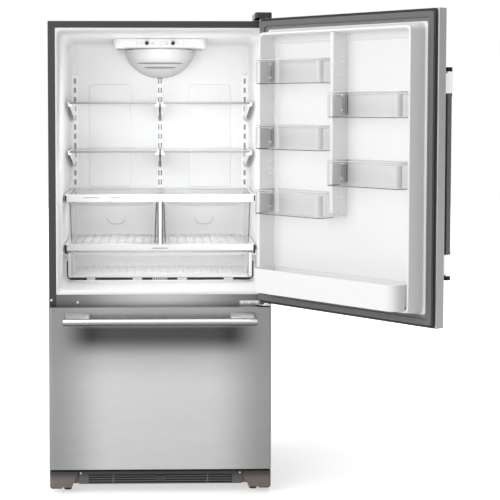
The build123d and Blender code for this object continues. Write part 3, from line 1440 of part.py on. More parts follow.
with BuildPart() as compressor:
    with BuildPart(mode=Mode.PRIVATE) as pot:
        Cylinder(COMPRESSOR_RADIUS, 86, align=(Align.CENTER, Align.CENTER, Align.MIN))
        chamfer(pot.edges().filter_by(GeomType.CIRCLE).group_by(Axis.Z)[0], 14)
        with Locations((0, 0, 86)):
            Cylinder(COMPRESSOR_RADIUS + 4, 5, align=(Align.CENTER, Align.CENTER, Align.MIN))
            Cylinder(COMPRESSOR_RADIUS - 3, 62, align=(Align.CENTER, Align.CENTER, Align.MIN))
        chamfer(pot.edges().filter_by(GeomType.CIRCLE).group_by(Axis.Z)[-1], 24)
    add(pot.part)
    block((-100, 100), (-62, 62), (-4, 4))
    for x in (-86, 86):
        for y in (-48, 48):
            with Locations((x, y, -18)):
                Cylinder(9, 15, align=(Align.CENTER, Align.CENTER, Align.MIN))

with BuildPart() as condenser:
    # fins on flat tubes between two headers
    pack_left = -(HALF - 101)
    pack_front = FAN_Y - 45
    pack_back = FAN_Y + 45
    pack_top = floor_z + 150
    for k in range(11):
        x = pack_left + 8 + 18 * k
        block((x, x + 1.5), (pack_front, pack_back), (floor_z, pack_top))
    for z in (floor_z + 30, floor_z + 75, floor_z + 120):
        block((pack_left, pack_left + 198), (FAN_Y - 38, FAN_Y + 38), (z - 2, z + 2))
    for x in (pack_left, pack_left + 198):
        with Locations((x, FAN_Y, floor_z)):
            Cylinder(5, 150, align=(Align.CENTER, Align.CENTER, Align.MIN))
    # fan shroud with the motor held on its spokes
    with BuildPart(mode=Mode.PRIVATE) as shroud:
        block((FAN_X - 28, FAN_X - 25), (FAN_Y - 92, FAN_Y + 92), (floor_z, FAN_Z + 92))
        with Locations((FAN_X - 10, FAN_Y, FAN_Z)):
            Cylinder(FAN_RADIUS + 8, 36, rotation=(0, 90, 0))
            Cylinder(FAN_RADIUS + 5, 60, rotation=(0, 90, 0), mode=Mode.SUBTRACT)
        with Locations((FAN_X + 26, FAN_Y, FAN_Z)):
            Cylinder(22, 24, rotation=(0, 90, 0))
        spoke = (FAN_Z - 4, FAN_Z + 4)
        ring_in = FAN_RADIUS + 5.5
        ring_out = FAN_RADIUS + 8
        block((FAN_X + 15, FAN_X + 20), (FAN_Y - ring_in - 1.5, FAN_Y + ring_in + 1.5), spoke)
        block((FAN_X + 4, FAN_X + 20), (FAN_Y - ring_out, FAN_Y - ring_in), spoke)
        block((FAN_X + 4, FAN_X + 20), (FAN_Y + ring_in, FAN_Y + ring_out), spoke)
        with Locations((FAN_X + 1, FAN_Y, FAN_Z)):
            Cylinder(SHAFT_DIAMETER / 2, 30, rotation=(0, 90, 0))
    add(shroud.part)

with BuildPart() as condenser_fan:
    with Locations((FAN_X, FAN_Y, FAN_Z)):
        Cylinder(20, 22, rotation=(0, 90, 0))
    for k in range(5):
        hub_plane = Plane(origin=(FAN_X, FAN_Y, FAN_Z), x_dir=(1, 0, 0), z_dir=(0, 0, 1))
        blade_plane = hub_plane.rotated((72 * k, 0, 0))
        with BuildSketch(blade_plane.offset(17)):
            Rectangle(16, 34, rotation=0)
        with BuildSketch(blade_plane.offset(FAN_RADIUS)):
            with Locations((0, 0)):
                Rectangle(8, 52)
    fan_faces = condenser_fan.pending_faces[:]
    condenser_fan.pending_faces.clear()
    for k in range(5):
        loft(sections=fan_faces[2 * k : 2 * k + 2], ruled=True)
    with Locations((FAN_X, FAN_Y, FAN_Z)):
        Cylinder(SHAFT_DIAMETER / 2 + PIN_CLEARANCE, 40, rotation=(0, 90, 0), mode=Mode.SUBTRACT)

with BuildPart() as drain_pan:
    pan_left = pack_left - 5
    pan_front = BASE_PLATE_FRONT + 6
    block((pan_left, pan_left + 210), (pan_front, pan_front + 72), (floor_z, floor_z + 40))
    block(
        (pan_left + 2, pan_left + 208),
        (pan_front + 2, pan_front + 70),
        (floor_z + 2, floor_z + 41),
        mode=Mode.SUBTRACT,
    )

with BuildPart() as machine_cover:
    cover_plane = CABINET_DEPTH - MACHINE_COVER_INSET
    cover_side = INSIDE - MACHINE_COVER_GAP
    cover_head = BACK_DECK_HEIGHT - 0.5
    block((-cover_side, cover_side), (cover_plane, cover_plane + 2), (BASE_PLATE_HEIGHT, cover_head))
    for z in (BASE_PLATE_HEIGHT + 50, BASE_PLATE_HEIGHT + 110, BASE_PLATE_HEIGHT + 170):
        with GridLocations(24, 1, 13, 1):
            with Locations((-180, cover_plane + 1, z)):
                Box(8, 6, 44, mode=Mode.SUBTRACT)
    with Locations((HALF - 86, cover_plane + 4, BASE_PLATE_HEIGHT + 70)):
        Cylinder(11, 8, rotation=(90, 0, 0))
        Cylinder(4.5, 20, rotation=(90, 0, 0), mode=Mode.SUBTRACT)

with BuildPart() as evaporator:
    coil_half = FREEZER_HALF_WIDTH - 129
    coil_pitch = 2 * coil_half / 10
    coil_face = FREEZER_DEPTH - 48
    for k in range(11):
        x = -coil_half + coil_pitch * k - 0.75
        block(
            (x, x + 1.5),
            (coil_face, FREEZER_DEPTH - SLIDE_PLAY),
            (FREEZER_STEP_TOP + 30, FREEZER_STEP_TOP + 200),
        )
    for z in (FREEZER_STEP_TOP + 80, FREEZER_STEP_TOP + 150):
        with Locations((0, coil_face + 24, z)):
            Cylinder(5, 2 * coil_half + 20, rotation=(0, 90, 0))

with BuildPart() as evaporator_cover:
    cover_half = FREEZER_HALF_WIDTH - 0.5
    cover_face = FREEZER_DEPTH - 60
    block(
        (-cover_half, cover_half),
        (cover_face, cover_face + 2.5),
        (FREEZER_STEP_TOP + 0.5, FREEZER_CEILING - 0.5),
    )
    for drop in (80, 62, 44):
        block(
            (-cover_half + 153, cover_half - 153),
            (cover_face - 1, cover_face + 4),
            (FREEZER_CEILING - drop, FREEZER_CEILING - drop + 8),
            mode=Mode.SUBTRACT,
        )

# ---------------------------------------------------------------- placing and export

TO_PIVOT = Location((PIVOT_X, PIVOT_Y, 0))
DOOR_SWING = TO_PIVOT * Location((0, 0, 0), (0, 0, DOOR_OPEN)) * TO_PIVOT.inverse()
COMPRESSOR_PLACE = Location((COMPRESSOR_X, COMPRESSOR_Y, floor_z + 18))

fixed = {
    "cabinet_shell": cabinet_shell,
    "mullion": mullion,
    "chassis": chassis,
    "rear_panel": rear_panel,
    "fresh_food_liner": fresh_food_liner,
    "freezer_liner": freezer_liner,
    "cabinet_foam": cabinet_foam,
    "top_hinge": top_hinge,
    "hinge_cover": hinge_cover,
    "center_hinge": center_hinge,
    "shelf_tracks": shelf_tracks,
    "shelf_frames_upper": upper_shelf_frames,
    "shelf_frames_lower": lower_shelf_frames,
    "glass_panes": glass_panes,
    "crisper_cover": crisper_cover,
    "pantry_cover": pantry_cover,
    "control_housing": control_housing,
    "light_diffuser": light_diffuser,
    "outer_slides": outer_slides,
    "base_grille": base_grille,
    "foot_covers": foot_covers,
    "condenser": condenser,
    "drain_pan": drain_pan,
    "machine_cover": machine_cover,
    "evaporator": evaporator,
    "evaporator_cover": evaporator_cover,
    "humidity_left": humidity_left,
    "humidity_right": humidity_right,
    "crisper_left": crisper_left,
    "crisper_right": crisper_right,
    "pantry_drawer": pantry_drawer,
    "knob_left": knob_left,
    "knob_right": knob_right,
    "light_switch": light_switch,
    "drawer_skin": drawer_skin,
    "drawer_foam": drawer_foam,
    "drawer_liner": drawer_liner,
    "drawer_gasket": drawer_gasket,
    "drawer_handle": drawer_handle,
    "inner_slides": inner_slides,
    "middle_slides": middle_slides,
    "lower_basket": lower_basket,
    "upper_basket": upper_basket,
    "leg_left": leg_left,
    "leg_right": leg_right,
    "rear_rollers": rear_rollers,
    "condenser_fan": condenser_fan,
}
on_door = {
    "door_skin": door_panel,
    "door_foam": door_foam,
    "door_liner": door_liner,
    "door_gasket": door_gasket,
    "door_handle": door_handle,
    "hinge_bushings": hinge_bushings,
    "gallon_bin": gallon_bin,
}
for number, body in enumerate(door_bins, 1):
    on_door[f"door_bin_{number}"] = body

os.makedirs("parts", exist_ok=True)
for name, piece in fixed.items():
    piece.part.label = name
    export_step(piece.part, f"parts/{name}.step")
for name, piece in on_door.items():
    swung = piece.part.moved(DOOR_SWING)
    swung.label = name
    export_step(swung, f"parts/{name}.step")
compressor_placed = compressor.part.moved(COMPRESSOR_PLACE)
compressor_placed.label = "compressor"
export_step(compressor_placed, "parts/compressor.step")
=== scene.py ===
"""Finishes and fine forms of a bottom freezer refrigerator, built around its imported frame.

X runs to the right, Y towards the back and Z up. The origin is on the floor, midway between
the cabinet's sides, below the front face of its flange. Finishes and studio are in metres,
and the forms are given in millimetres.
"""

from __future__ import annotations

import logging
import math
from collections.abc import Callable, Iterable, Sequence
from dataclasses import dataclass, replace
from enum import Enum

import bmesh
import bpy
from mathutils import Matrix, Vector

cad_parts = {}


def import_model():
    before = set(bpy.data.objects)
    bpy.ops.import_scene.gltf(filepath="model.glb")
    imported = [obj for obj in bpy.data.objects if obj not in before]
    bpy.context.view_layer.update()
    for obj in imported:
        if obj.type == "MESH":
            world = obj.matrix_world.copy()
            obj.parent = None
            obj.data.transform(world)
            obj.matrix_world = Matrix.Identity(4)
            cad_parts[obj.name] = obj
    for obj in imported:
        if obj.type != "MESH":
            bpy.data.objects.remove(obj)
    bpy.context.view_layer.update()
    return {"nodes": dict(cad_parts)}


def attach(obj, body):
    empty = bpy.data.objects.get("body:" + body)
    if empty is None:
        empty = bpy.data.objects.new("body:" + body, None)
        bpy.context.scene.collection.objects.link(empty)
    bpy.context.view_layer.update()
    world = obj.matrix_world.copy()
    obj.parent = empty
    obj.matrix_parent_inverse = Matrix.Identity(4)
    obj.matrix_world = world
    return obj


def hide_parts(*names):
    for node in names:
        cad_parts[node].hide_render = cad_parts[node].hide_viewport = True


LOG = logging.getLogger("refrigerator")
MM = 0.001
Colour = tuple[float, float, float, float]
Point = tuple[float, float, float]
Span = tuple[float, float]
Form = tuple[list[Vector], list[list[int]]]  # points in metres, and faces
Socket = bpy.types.NodeSocket

RIGHT, BACK, UP = Vector((1, 0, 0)), Vector((0, 1, 0)), Vector((0, 0, 1))
SIDES = (("left", -1), ("right", 1))
PIVOT = Vector((0.395, -0.033, 0.0))
DOOR_OPEN = math.radians(130.6)
DOOR_SWING = (
    Matrix.Translation(PIVOT) @ Matrix.Rotation(DOOR_OPEN, 4, "Z") @ Matrix.Translation(-PIVOT)
)
STILL = Matrix.Identity(4)


class Body(Enum):
    """The bodies that the pieces made here ride on."""

    CABINET = "cabinet"
    DOOR = "refrigerator_door"
    DRAWER = "freezer_drawer"
    GALLON_BIN = "gallon_bin"
    CRISPER_LEFT = "crisper_left"
    CRISPER_RIGHT = "crisper_right"
    PANTRY = "pantry_drawer"
    BIN_1 = "door_bin_1"
    BIN_2 = "door_bin_2"
    BIN_3 = "door_bin_3"
    BIN_4 = "door_bin_4"
    BIN_5 = "door_bin_5"


# ------------------------------------------------------------------ node trees


def operator(kind: str, swapped: bool = False) -> Callable[..., Term]:
    """Makes a method of Term out of one Math node.

    Args:
        kind: the node's operation.
        swapped: whether the other value comes first.

    Returns:
        The method.
    """

    def method(self: Term, other: Term | float = 0.0) -> Term:
        """Works out the operation.

        Args:
            self: one value.
            other: the other value.

        Returns:
            The result.
        """
        inputs = {0: other, 1: self} if swapped else {0: self, 1: other}
        node = self.graph.node("ShaderNodeMath", {"operation": kind}, inputs)
        return Term(self.graph, node.outputs[0])

    return method


class Term:
    """A number worked out by a tree's nodes, written with Python's operators."""

    __add__ = operator("ADD")
    __sub__ = operator("SUBTRACT")
    __rsub__ = operator("SUBTRACT", swapped=True)
    __mul__ = operator("MULTIPLY")
    __pow__ = operator("POWER")
    __gt__ = operator("GREATER_THAN")
    most = operator("MAXIMUM")
    size = operator("ABSOLUTE")

    def __init__(self, graph: Graph, socket: Socket) -> None:
        """Wraps one output socket of a graph."""
        self.graph = graph
        self.socket = socket

    def swing(self, amount: float) -> Term:
        """A pattern between nought and one, centred on nought and scaled."""
        return (self - 0.5) * amount

    def between(self, low: float, high: float, first: float = 0.0, last: float = 1.0) -> Term:
        """Moves smoothly from one value to another.

        Args:
            low: where the first value ends.
            high: where the last value begins.
            first: the first value.
            last: the last value.

        Returns:
            The value.
        """
        ends = {"From Min": low, "From Max": high, "To Min": first, "To Max": last}
        node = self.graph.node(
            "ShaderNodeMapRange", {"interpolation_type": "SMOOTHSTEP"}, {"Value": self} | ends
        )
        return Term(self.graph, node.outputs["Result"])


class Graph:
    """A node tree that is filled from empty."""

    def __init__(self, tree: bpy.types.NodeTree) -> None:
        """Empties the tree."""
        self.tree = tree
        tree.nodes.clear()

    def node(
        self, kind: str, settings: dict | None = None, inputs: dict | None = None
    ) -> bpy.types.Node:
        """Adds a node.

        Args:
            kind: the node's type.
            settings: its own settings, set first.
            inputs: values, terms or sockets for its inputs, by name or place.

        Returns:
            The new node.
        """
        made = self.tree.nodes.new(kind)
        for key, value in (settings or {}).items():
            setattr(made, key, value)
        for key, value in (inputs or {}).items():
            value = value.socket if isinstance(value, Term) else value
            if isinstance(value, Socket):
                self.tree.links.new(value, made.inputs[key])
            else:
                made.inputs[key].default_value = value
        return made

    def place(self, stretch: Point = (1, 1, 1), on_door: bool = False) -> Socket:
        """Object coordinates, squeezed along each axis and turned into the shut door's axes.

        Args:
            stretch: how far the pattern runs along each axis.
            on_door: whether the piece is on the open door.

        Returns:
            The coordinates' socket.
        """
        inputs = {
            "Vector": self.node("ShaderNodeTexCoord").outputs["Object"],
            "Location": tuple(PIVOT) if on_door else (0, 0, 0),
            "Rotation": (0, 0, DOOR_OPEN if on_door else 0),
            "Scale": stretch,
        }
        node = self.node("ShaderNodeMapping", {"vector_type": "TEXTURE"}, inputs)
        return node.outputs["Vector"]

    def axes(self, where: Socket) -> tuple[Term, ...]:
        """The three numbers of a vector."""
        node = self.node("ShaderNodeSeparateXYZ", None, {0: where})
        return tuple(Term(self, output) for output in node.outputs)

    def noise(self, where: Socket, scale: float, detail: float = 2.0, rough: float = 0.5) -> Term:
        """Fractal noise between nought and one.

        Args:
            where: coordinates.
            scale: features per metre.
            detail: octaves.
            rough: weight of the finer octaves.

        Returns:
            The noise.
        """
        inputs = {"Vector": where, "Scale": scale, "Detail": detail, "Roughness": rough}
        node = self.node("ShaderNodeTexNoise", {"noise_dimensions": "3D"}, inputs)
        return Term(self, node.outputs[0])

    def grain(self, stretch: Point, on_door: bool = False) -> Term:
        """Fine lines that run along the axis with the largest share of the stretch."""
        return self.noise(self.place(stretch, on_door), 900.0, 3.0, 0.65)

    def blend(self, factor: Term, first: Colour | Socket, second: Colour | Socket) -> Socket:
        """A colour between two."""
        inputs = {0: factor, 6: first, 7: second}
        return self.node("ShaderNodeMix", {"data_type": "RGBA"}, inputs).outputs[2]

    def surface(
        self,
        colour: Socket,
        roughness: Term | float,
        bump: Term,
        depth: float,
        **more: Term | float,
    ) -> None:
        """Ends the tree in one surface shader.

        Args:
            colour: base colour.
            roughness: roughness.
            bump: height pattern.
            depth: how deep the pattern is, in metres.
            **more: other inputs of the shader.
        """
        heights = {"Height": bump, "Distance": depth, "Strength": 1.0}
        normal = self.node("ShaderNodeBump", None, heights).outputs["Normal"]
        inputs = {"Base Color": colour, "Roughness": roughness, "Normal": normal}
        shader = self.node("ShaderNodeBsdfPrincipled", None, inputs | more)
        self.node("ShaderNodeOutputMaterial", None, {"Surface": shader.outputs[0]})


def grey(level: float) -> Colour:
    """A neutral colour."""
    return (level, level, level, 1.0)


def scaled(colour: Colour, share: float) -> Colour:
    """A darker or lighter shade of a colour."""
    return (colour[0] * share, colour[1] * share, colour[2] * share, colour[3])


# ------------------------------------------------------------------ finishes


@dataclass(frozen=True)
class Finish:
    """A procedural surface: a slot's name, which nothing here reads, and its name."""

    slot: str
    name: str

    def build(self) -> bpy.types.Material:
        """Makes the material.

        Returns:
            The material.
        """
        material = bpy.data.materials.new(self.name)
        material.use_nodes = True
        self.shade(Graph(material.node_tree))
        return material

    def shade(self, graph: Graph) -> None:
        """Fills the material's tree."""
        raise NotImplementedError


@dataclass(frozen=True)
class BrushedSteel(Finish):
    """Stainless sheet with a fine level grain."""

    colour: Colour
    on_door: bool = False
    level: float = 0.5  # the mean tone, from the dark shade at nought to the light one at one
    dark: float = 0.62
    light: float = 1.3
    roughness: float = 0.36
    line_tone: float = 0.34
    line_gloss: float = 0.22
    cloud_tone: float = 0.20
    cloud_gloss: float = 0.08

    def shade(self, graph: Graph) -> None:
        """Fills the material's tree.

        Args:
            graph: the tree.
        """
        lines = graph.grain((40.0, 40.0, 1.0), self.on_door)
        cloud = graph.noise(graph.place((3.0, 3.0, 1.0), self.on_door), 26.0, 3.0, 0.55)
        tone = lines.swing(self.line_tone) + cloud.swing(self.cloud_tone) + self.level
        colour = graph.blend(tone, scaled(self.colour, self.dark), scaled(self.colour, self.light))
        rough = lines.swing(self.line_gloss) + cloud.swing(self.cloud_gloss) + self.roughness
        graph.surface(self.with_painted_shade(graph, colour), rough, lines, 0.00003, Metallic=1.0)

    def with_painted_shade(self, graph: Graph, colour: Socket) -> Socket:
        """The colour as it is: this sheet gets no painted reflection or shade."""
        return colour


@dataclass(frozen=True)
class DrawerSteel(BrushedSteel):
    """Brushed steel with a painted reflection of a dim room, darker upwards and at the sides, and a
    painted shadow below the bar.
    """

    low: float = 0.40  # height from which the painted reflection darkens it
    fade: float = 0.20  # height over which the painted reflection darkens it
    bar: Span = (0.625, 0.655)  # heights between which the bar's painted shadow ends
    under: float = 0.51  # height from which the bar's painted shadow begins
    half: float = 0.40  # half the sheet's width
    side_from: float = 0.45  # share of the half width from which the sides darken
    within: Span = (0.62, 0.98)  # shares of the half width between which the bar's painted shadow fades
    top_shade: float = 0.40
    side_shade: float = 0.50
    side_loss: float = 0.32  # what the side's painted shade loses where the top's is full
    bar_shade: float = 0.53

    def with_painted_shade(self, graph: Graph, colour: Socket) -> Socket:
        """The colour with a painted reflection of a dim room and a painted shadow below the bar.

        Args:
            graph: the tree.
            colour: the steel's own colour.

        Returns:
            The colour with painted shade.
        """
        across, _, up = graph.axes(graph.place())
        off = across.size()
        side = off.between(self.half * self.side_from, self.half)
        within = 1.0 - off.between(*(self.half * share for share in self.within))
        full = self.low + self.fade
        # painted shadow below the bar, fading out towards the sheet's sides
        painted_bar_shadow = up.between(self.under, full) * (1.0 - up.between(*self.bar))
        rise = up.between(self.low, full)
        # painted reflection of a dim room: darker upwards and at the sides
        shade = rise * self.top_shade + side * (self.side_shade - rise * self.side_loss)
        shade = shade + painted_bar_shadow * within * self.bar_shade
        return graph.blend(shade, colour, grey(0.03))


@dataclass(frozen=True)
class SatinBar(Finish):
    """Satin steel of a level bar: a painted highlight along its upper half over a painted dark
    underside, and a painted highlight on the posts behind it.
    """

    axis: float  # height of the bar's middle
    colour: Colour = grey(0.85)
    # the painted dark underside's share of the colour
    dark: float = 0.14
    line: tuple[Span, ...] = ((0.000, 0.004), (0.008, 0.011))  # where the painted highlight begins and ends
    line_tone: float = 0.9
    under: Span = (-0.012, 0.002)  # where the underside's painted shade gives way
    underside_shade: float = 0.22
    posts_from: float = -0.088  # depth behind which the posts get a painted highlight
    post_highlight: float = 0.5
    grain_tone: float = 0.2

    def shade(self, graph: Graph) -> None:
        """Fills the material's tree.

        Args:
            graph: the tree.
        """
        lines = graph.grain((60.0, 1.0, 1.0))
        _, deep, up = graph.axes(graph.place())
        rise = up - self.axis
        begins, ends = (rise.between(*span) for span in self.line)
        # painted highlight along the top, lifted out of the underside's painted shade, and a
        # painted highlight on the posts
        tone = begins * (1.0 - ends) * self.line_tone
        tone = tone + rise.between(*self.under) * self.underside_shade
        tone = tone + lines.swing(self.grain_tone) + (deep > self.posts_from) * self.post_highlight
        colour = graph.blend(tone, scaled(self.colour, self.dark), self.colour)
        graph.surface(colour, lines.swing(0.15) + 0.26, lines, 0.00002, Metallic=1.0)


@dataclass(frozen=True)
class SleevedBar(Finish):
    """Steel of the upright bar: painted shade along its middle, painted highlights on its sleeves,
    and black painted shadow at its ends.
    """

    middle: float = 1.229  # height of the bar's middle
    sleeve: float = 0.268  # from here to the end, off the middle
    end: float = 0.340
    # painted highlight of the sleeves and painted shade of the middle
    bright: Colour = grey(0.78)
    dark: Colour = grey(0.10)

    def shade(self, graph: Graph) -> None:
        """Fills the material's tree.

        Args:
            graph: the tree.
        """
        lines = graph.grain((1.0, 1.0, 60.0), True)
        _, _, up = graph.axes(graph.place(on_door=True))
        along = (up - self.middle).size()
        # painted highlight on the sleeves, painted shade along the middle
        tone = (along > self.sleeve) * (1.0 - (along > self.end)) + lines.swing(0.2)
        colour = graph.blend(tone, self.dark, self.bright)
        # painted shadow at the ends
        colour = graph.blend(along > self.end - 0.0005, colour, grey(0.02))
        graph.surface(colour, lines.swing(0.15) + 0.22, lines, 0.00002, Metallic=1.0)


@dataclass(frozen=True)
class BasePlastic(Finish):
    """Brown-grey plastic of the base, dusty, with a painted shadow that darkens it up under the
    drawer.
    """

    colour: Colour
    fade: Span = (0.050, 0.080)  # heights between which the painted shadow darkens it
    shadow_depth: float = 0.85

    def shade(self, graph: Graph) -> None:
        """Fills the material's tree.

        Args:
            graph: the tree.
        """
        where = graph.place()
        _, _, up = graph.axes(where)
        fine = graph.noise(where, 800.0)
        dust = graph.noise(where, 30.0, 3.0)
        # painted shadow up under the drawer, with dust at random
        shade = up.between(*self.fade) * self.shadow_depth + dust.swing(0.12)
        colour = graph.blend(shade, self.colour, grey(0.014))
        graph.surface(colour, dust.swing(0.1) + 0.5, fine, 0.00004)


@dataclass(frozen=True)
class Drifting(Finish):
    """An opaque surface whose tone and gloss drift slowly over a fine relief."""

    colour: Colour
    roughness: float
    metallic: float = 0.0
    on_door: bool = False
    relief: float = 0.00003  # depth of the fine pattern
    fine: float = 900.0  # its features in a metre
    cloud: tuple[float, ...] = (6.0, 2.0, 0.5)  # the drift's features, octaves and their weight
    shades: Span = (0.975, 1.0)
    drift: float = 0.10  # how far the roughness follows the drift
    grit: float = 0.0  # how far it follows the relief

    def shade(self, graph: Graph) -> None:
        """Fills the material's tree.

        Args:
            graph: the tree.
        """
        where = graph.place(on_door=self.on_door)
        fine = graph.noise(where, self.fine)
        cloud = graph.noise(where, *self.cloud)
        low, high = (scaled(self.colour, share) for share in self.shades)
        rough = cloud.swing(self.drift) + fine.swing(self.grit) + self.roughness
        colour = graph.blend(cloud, low, high)
        graph.surface(colour, rough, fine, self.relief, Metallic=self.metallic)


@dataclass(frozen=True)
class PaintedSheet(Drifting):
    """Powder-painted or plated steel sheet with a faint orange peel."""

    relief: float = 0.00006
    fine: float = 420.0
    cloud: tuple[float, ...] = (9.0, 3.0, 0.5)
    shades: Span = (0.92, 1.06)
    drift: float = 0.12


@dataclass(frozen=True)
class MouldedPlastic(Drifting):
    """Moulded plastic: a smooth skin with a fine, shallow texture."""

    roughness: float = 0.38
    grit: float = 0.06


@dataclass(frozen=True)
class Rubber(Drifting):
    """Soft gasket rubber with a dusty skin."""

    roughness: float = 0.62
    relief: float = 0.00008
    fine: float = 700.0
    cloud: tuple[float, ...] = (60.0, 4.0, 0.6)
    shades: Span = (0.85, 1.15)
    drift: float = 0.15


@dataclass(frozen=True)
class ShadedRailPaint(Finish):
    """Paint of the rail between the two openings, with painted light at its middle and painted
    shade at its ends.
    """

    # painted shade of the ends and painted light of the middle
    dark: Colour = grey(0.13)
    bright: Colour = grey(0.50)
    fade: Span = (0.02, 0.4)  # distances from the middle between which the painted shade darkens it
    waver: float = 0.05

    def shade(self, graph: Graph) -> None:
        """Fills the material's tree.

        Args:
            graph: the tree.
        """
        where = graph.place()
        across, _, _ = graph.axes(where)
        peel = graph.noise(where, 420.0)
        off = across.size() + graph.noise(where, 5.0).swing(self.waver)
        # painted light at the middle, painted shade towards the ends
        middle = 1.0 - off.between(*self.fade)
        colour = graph.blend(middle, self.dark, self.bright)
        graph.surface(colour, 0.36 - middle * 0.06, peel, 0.00005, Metallic=0.35)


@dataclass(frozen=True)
class ClearPlastic(Finish):
    """Clear moulded plastic or glass: see-through face on, thicker towards its rims."""

    colour: Colour
    face: float  # opacity seen face on
    rim: float  # opacity seen along the wall
    roughness: float
    on_door: bool = False
    edge: float = 0.5  # share of the colour that is left where it is seen along the wall
    turn: float = 0.35  # how far a wall turns from the eye before its rim begins
    cloudiness: float = 0.03

    def shade(self, graph: Graph) -> None:
        """Fills the material's tree.

        Args:
            graph: the tree.
        """
        slow = graph.noise(graph.place(on_door=self.on_door), 14.0)
        weight = graph.node("ShaderNodeLayerWeight", None, {"Blend": self.turn})
        rim = Term(graph, weight.outputs["Facing"]) ** 2.0
        alpha = rim * (self.rim - self.face) + slow.swing(self.cloudiness) + self.face
        colour = graph.blend(rim, self.colour, scaled(self.colour, self.edge))
        graph.surface(colour, slow.swing(0.05) + self.roughness, slow, 0.0002, Alpha=alpha)


@dataclass(frozen=True)
class Foam(Finish):
    """Poured foam with an open, grainy skin."""

    colour: Colour = (0.80, 0.72, 0.45, 1.0)

    def shade(self, graph: Graph) -> None:
        """Fills the material's tree.

        Args:
            graph: the tree.
        """
        cells = graph.noise(graph.place(), 300.0, 4.0, 0.7)
        colour = graph.blend(cells, scaled(self.colour, 0.8), self.colour)
        graph.surface(colour, 0.9, cells, 0.0008)


CLEAR = "clear_plastic"
FINISHES: dict[str, Finish] = {
    "steel_drawer": DrawerSteel("stainless", "brushed steel, drawer", grey(0.42), level=0.7),
    "steel_door": BrushedSteel("stainless", "brushed steel, door", grey(0.32), True),
    "bar": SatinBar("handle_steel", "satin bar, drawer", 0.660),
    "bar_door": SleevedBar("handle_steel", "satin bar, door"),
    "post": PaintedSheet("handle_steel", "satin foot", grey(0.72), 0.32, 0.9),
    "cabinet": PaintedSheet("cabinet_paint", "cabinet paint", grey(0.022), 0.46),
    "rail": ShadedRailPaint("cabinet_paint", "rail paint"),
    "sheet": PaintedSheet("steel_sheet", "plated sheet", grey(0.42), 0.40, 0.8),
    "zinc": PaintedSheet("slide_steel", "bright zinc", grey(0.60), 0.28, 1.0),
    "screw": PaintedSheet("white_metal", "screw enamel", grey(0.92), 0.5, relief=0.000002),
    "liner": MouldedPlastic("liner_white", "liner white", grey(0.84)),
    "liner_door": MouldedPlastic("liner_white", "door liner white", grey(0.82), on_door=True),
    "white": MouldedPlastic("white_plastic", "white moulding", grey(0.76), 0.3),
    "white_metal": PaintedSheet("white_metal", "white enamel", grey(0.91), 0.32),
    "dark": MouldedPlastic("dark_plastic", "dark moulding", grey(0.035), 0.5),
    "black": MouldedPlastic("cover_black", "black moulding", grey(0.012), 0.42),
    "knob": MouldedPlastic("knob_black", "knob black", grey(0.010), 0.32),
    "taupe": BasePlastic("dark_plastic", "base plastic", (0.165, 0.143, 0.130, 1.0)),
    "grille": BasePlastic("dark_plastic", "grille plastic", (0.120, 0.108, 0.100, 1.0)),
    # grey of printed ticks and dial marks, also used for painted shade in slots, slits and the
    # crispers' embossings
    "mid_grey": MouldedPlastic("grey_plastic", "louvre grey", grey(0.30), 0.5),
    "deep_grey": MouldedPlastic("grey_plastic", "shelf rail grey", grey(0.20), 0.4),
    "pale_grey": MouldedPlastic("grey_plastic", "pale grey", grey(0.58), 0.45),
    "lip": Rubber("gasket_grey", "gasket grey", grey(0.20), on_door=True),
    # the same rubber as the lip, darker as painted shade
    "bellows": Rubber("gasket_grey", "gasket painted shade", grey(0.12), on_door=True),
    # black, put where there is only shadow: painted shadow in gaps and behind openings
    "painted_shadow": Rubber("gasket_grey", "seal black", grey(0.009)),
    "clear": ClearPlastic(CLEAR, "clear plastic", grey(0.90), 0.06, 0.72, 0.10, edge=0.30),
    "clear_door": ClearPlastic(
        CLEAR, "clear bin plastic", grey(0.86), 0.015, 0.34, 0.06, True, 0.72
    ),
    "frost": ClearPlastic(CLEAR, "ribbed plastic", grey(0.74), 0.45, 0.85, 0.25),
    # near black, for painted shade where the crispers' side walls are seen edge on
    "crisper_edge_shade": ClearPlastic(CLEAR, "crisper edge", grey(0.05), 0.72, 0.95, 0.2, edge=0.8),
    # the rolled rims' plastic, also used for the painted highlights on the bins' corners
    "bin_rim": ClearPlastic(CLEAR, "bin rim", grey(0.80), 0.70, 0.95, 0.12, True, 0.75),
    # dark, for painted shade along the bins' thick edges
    "bin_edge_shade": ClearPlastic(CLEAR, "bin edge shade", grey(0.10), 0.60, 0.95, 0.12, True, 0.8),
    "pantry": ClearPlastic(CLEAR, "pantry plastic", grey(0.90), 0.22, 0.80, 0.16, edge=0.45),
    "glass": ClearPlastic("shelf_glass", "shelf glass", (0.60, 0.66, 0.64, 1.0), 0.10, 0.55, 0.03),
    "diffuser": ClearPlastic(
        "frosted_plastic", "frosted plastic", grey(0.86), 0.88, 0.98, 0.3, edge=0.42
    ),
    "foam": Foam("foam", "insulation foam"),
    "fins": PaintedSheet("fin_aluminium", "bare aluminium", grey(0.70), 0.35, 1.0),
}

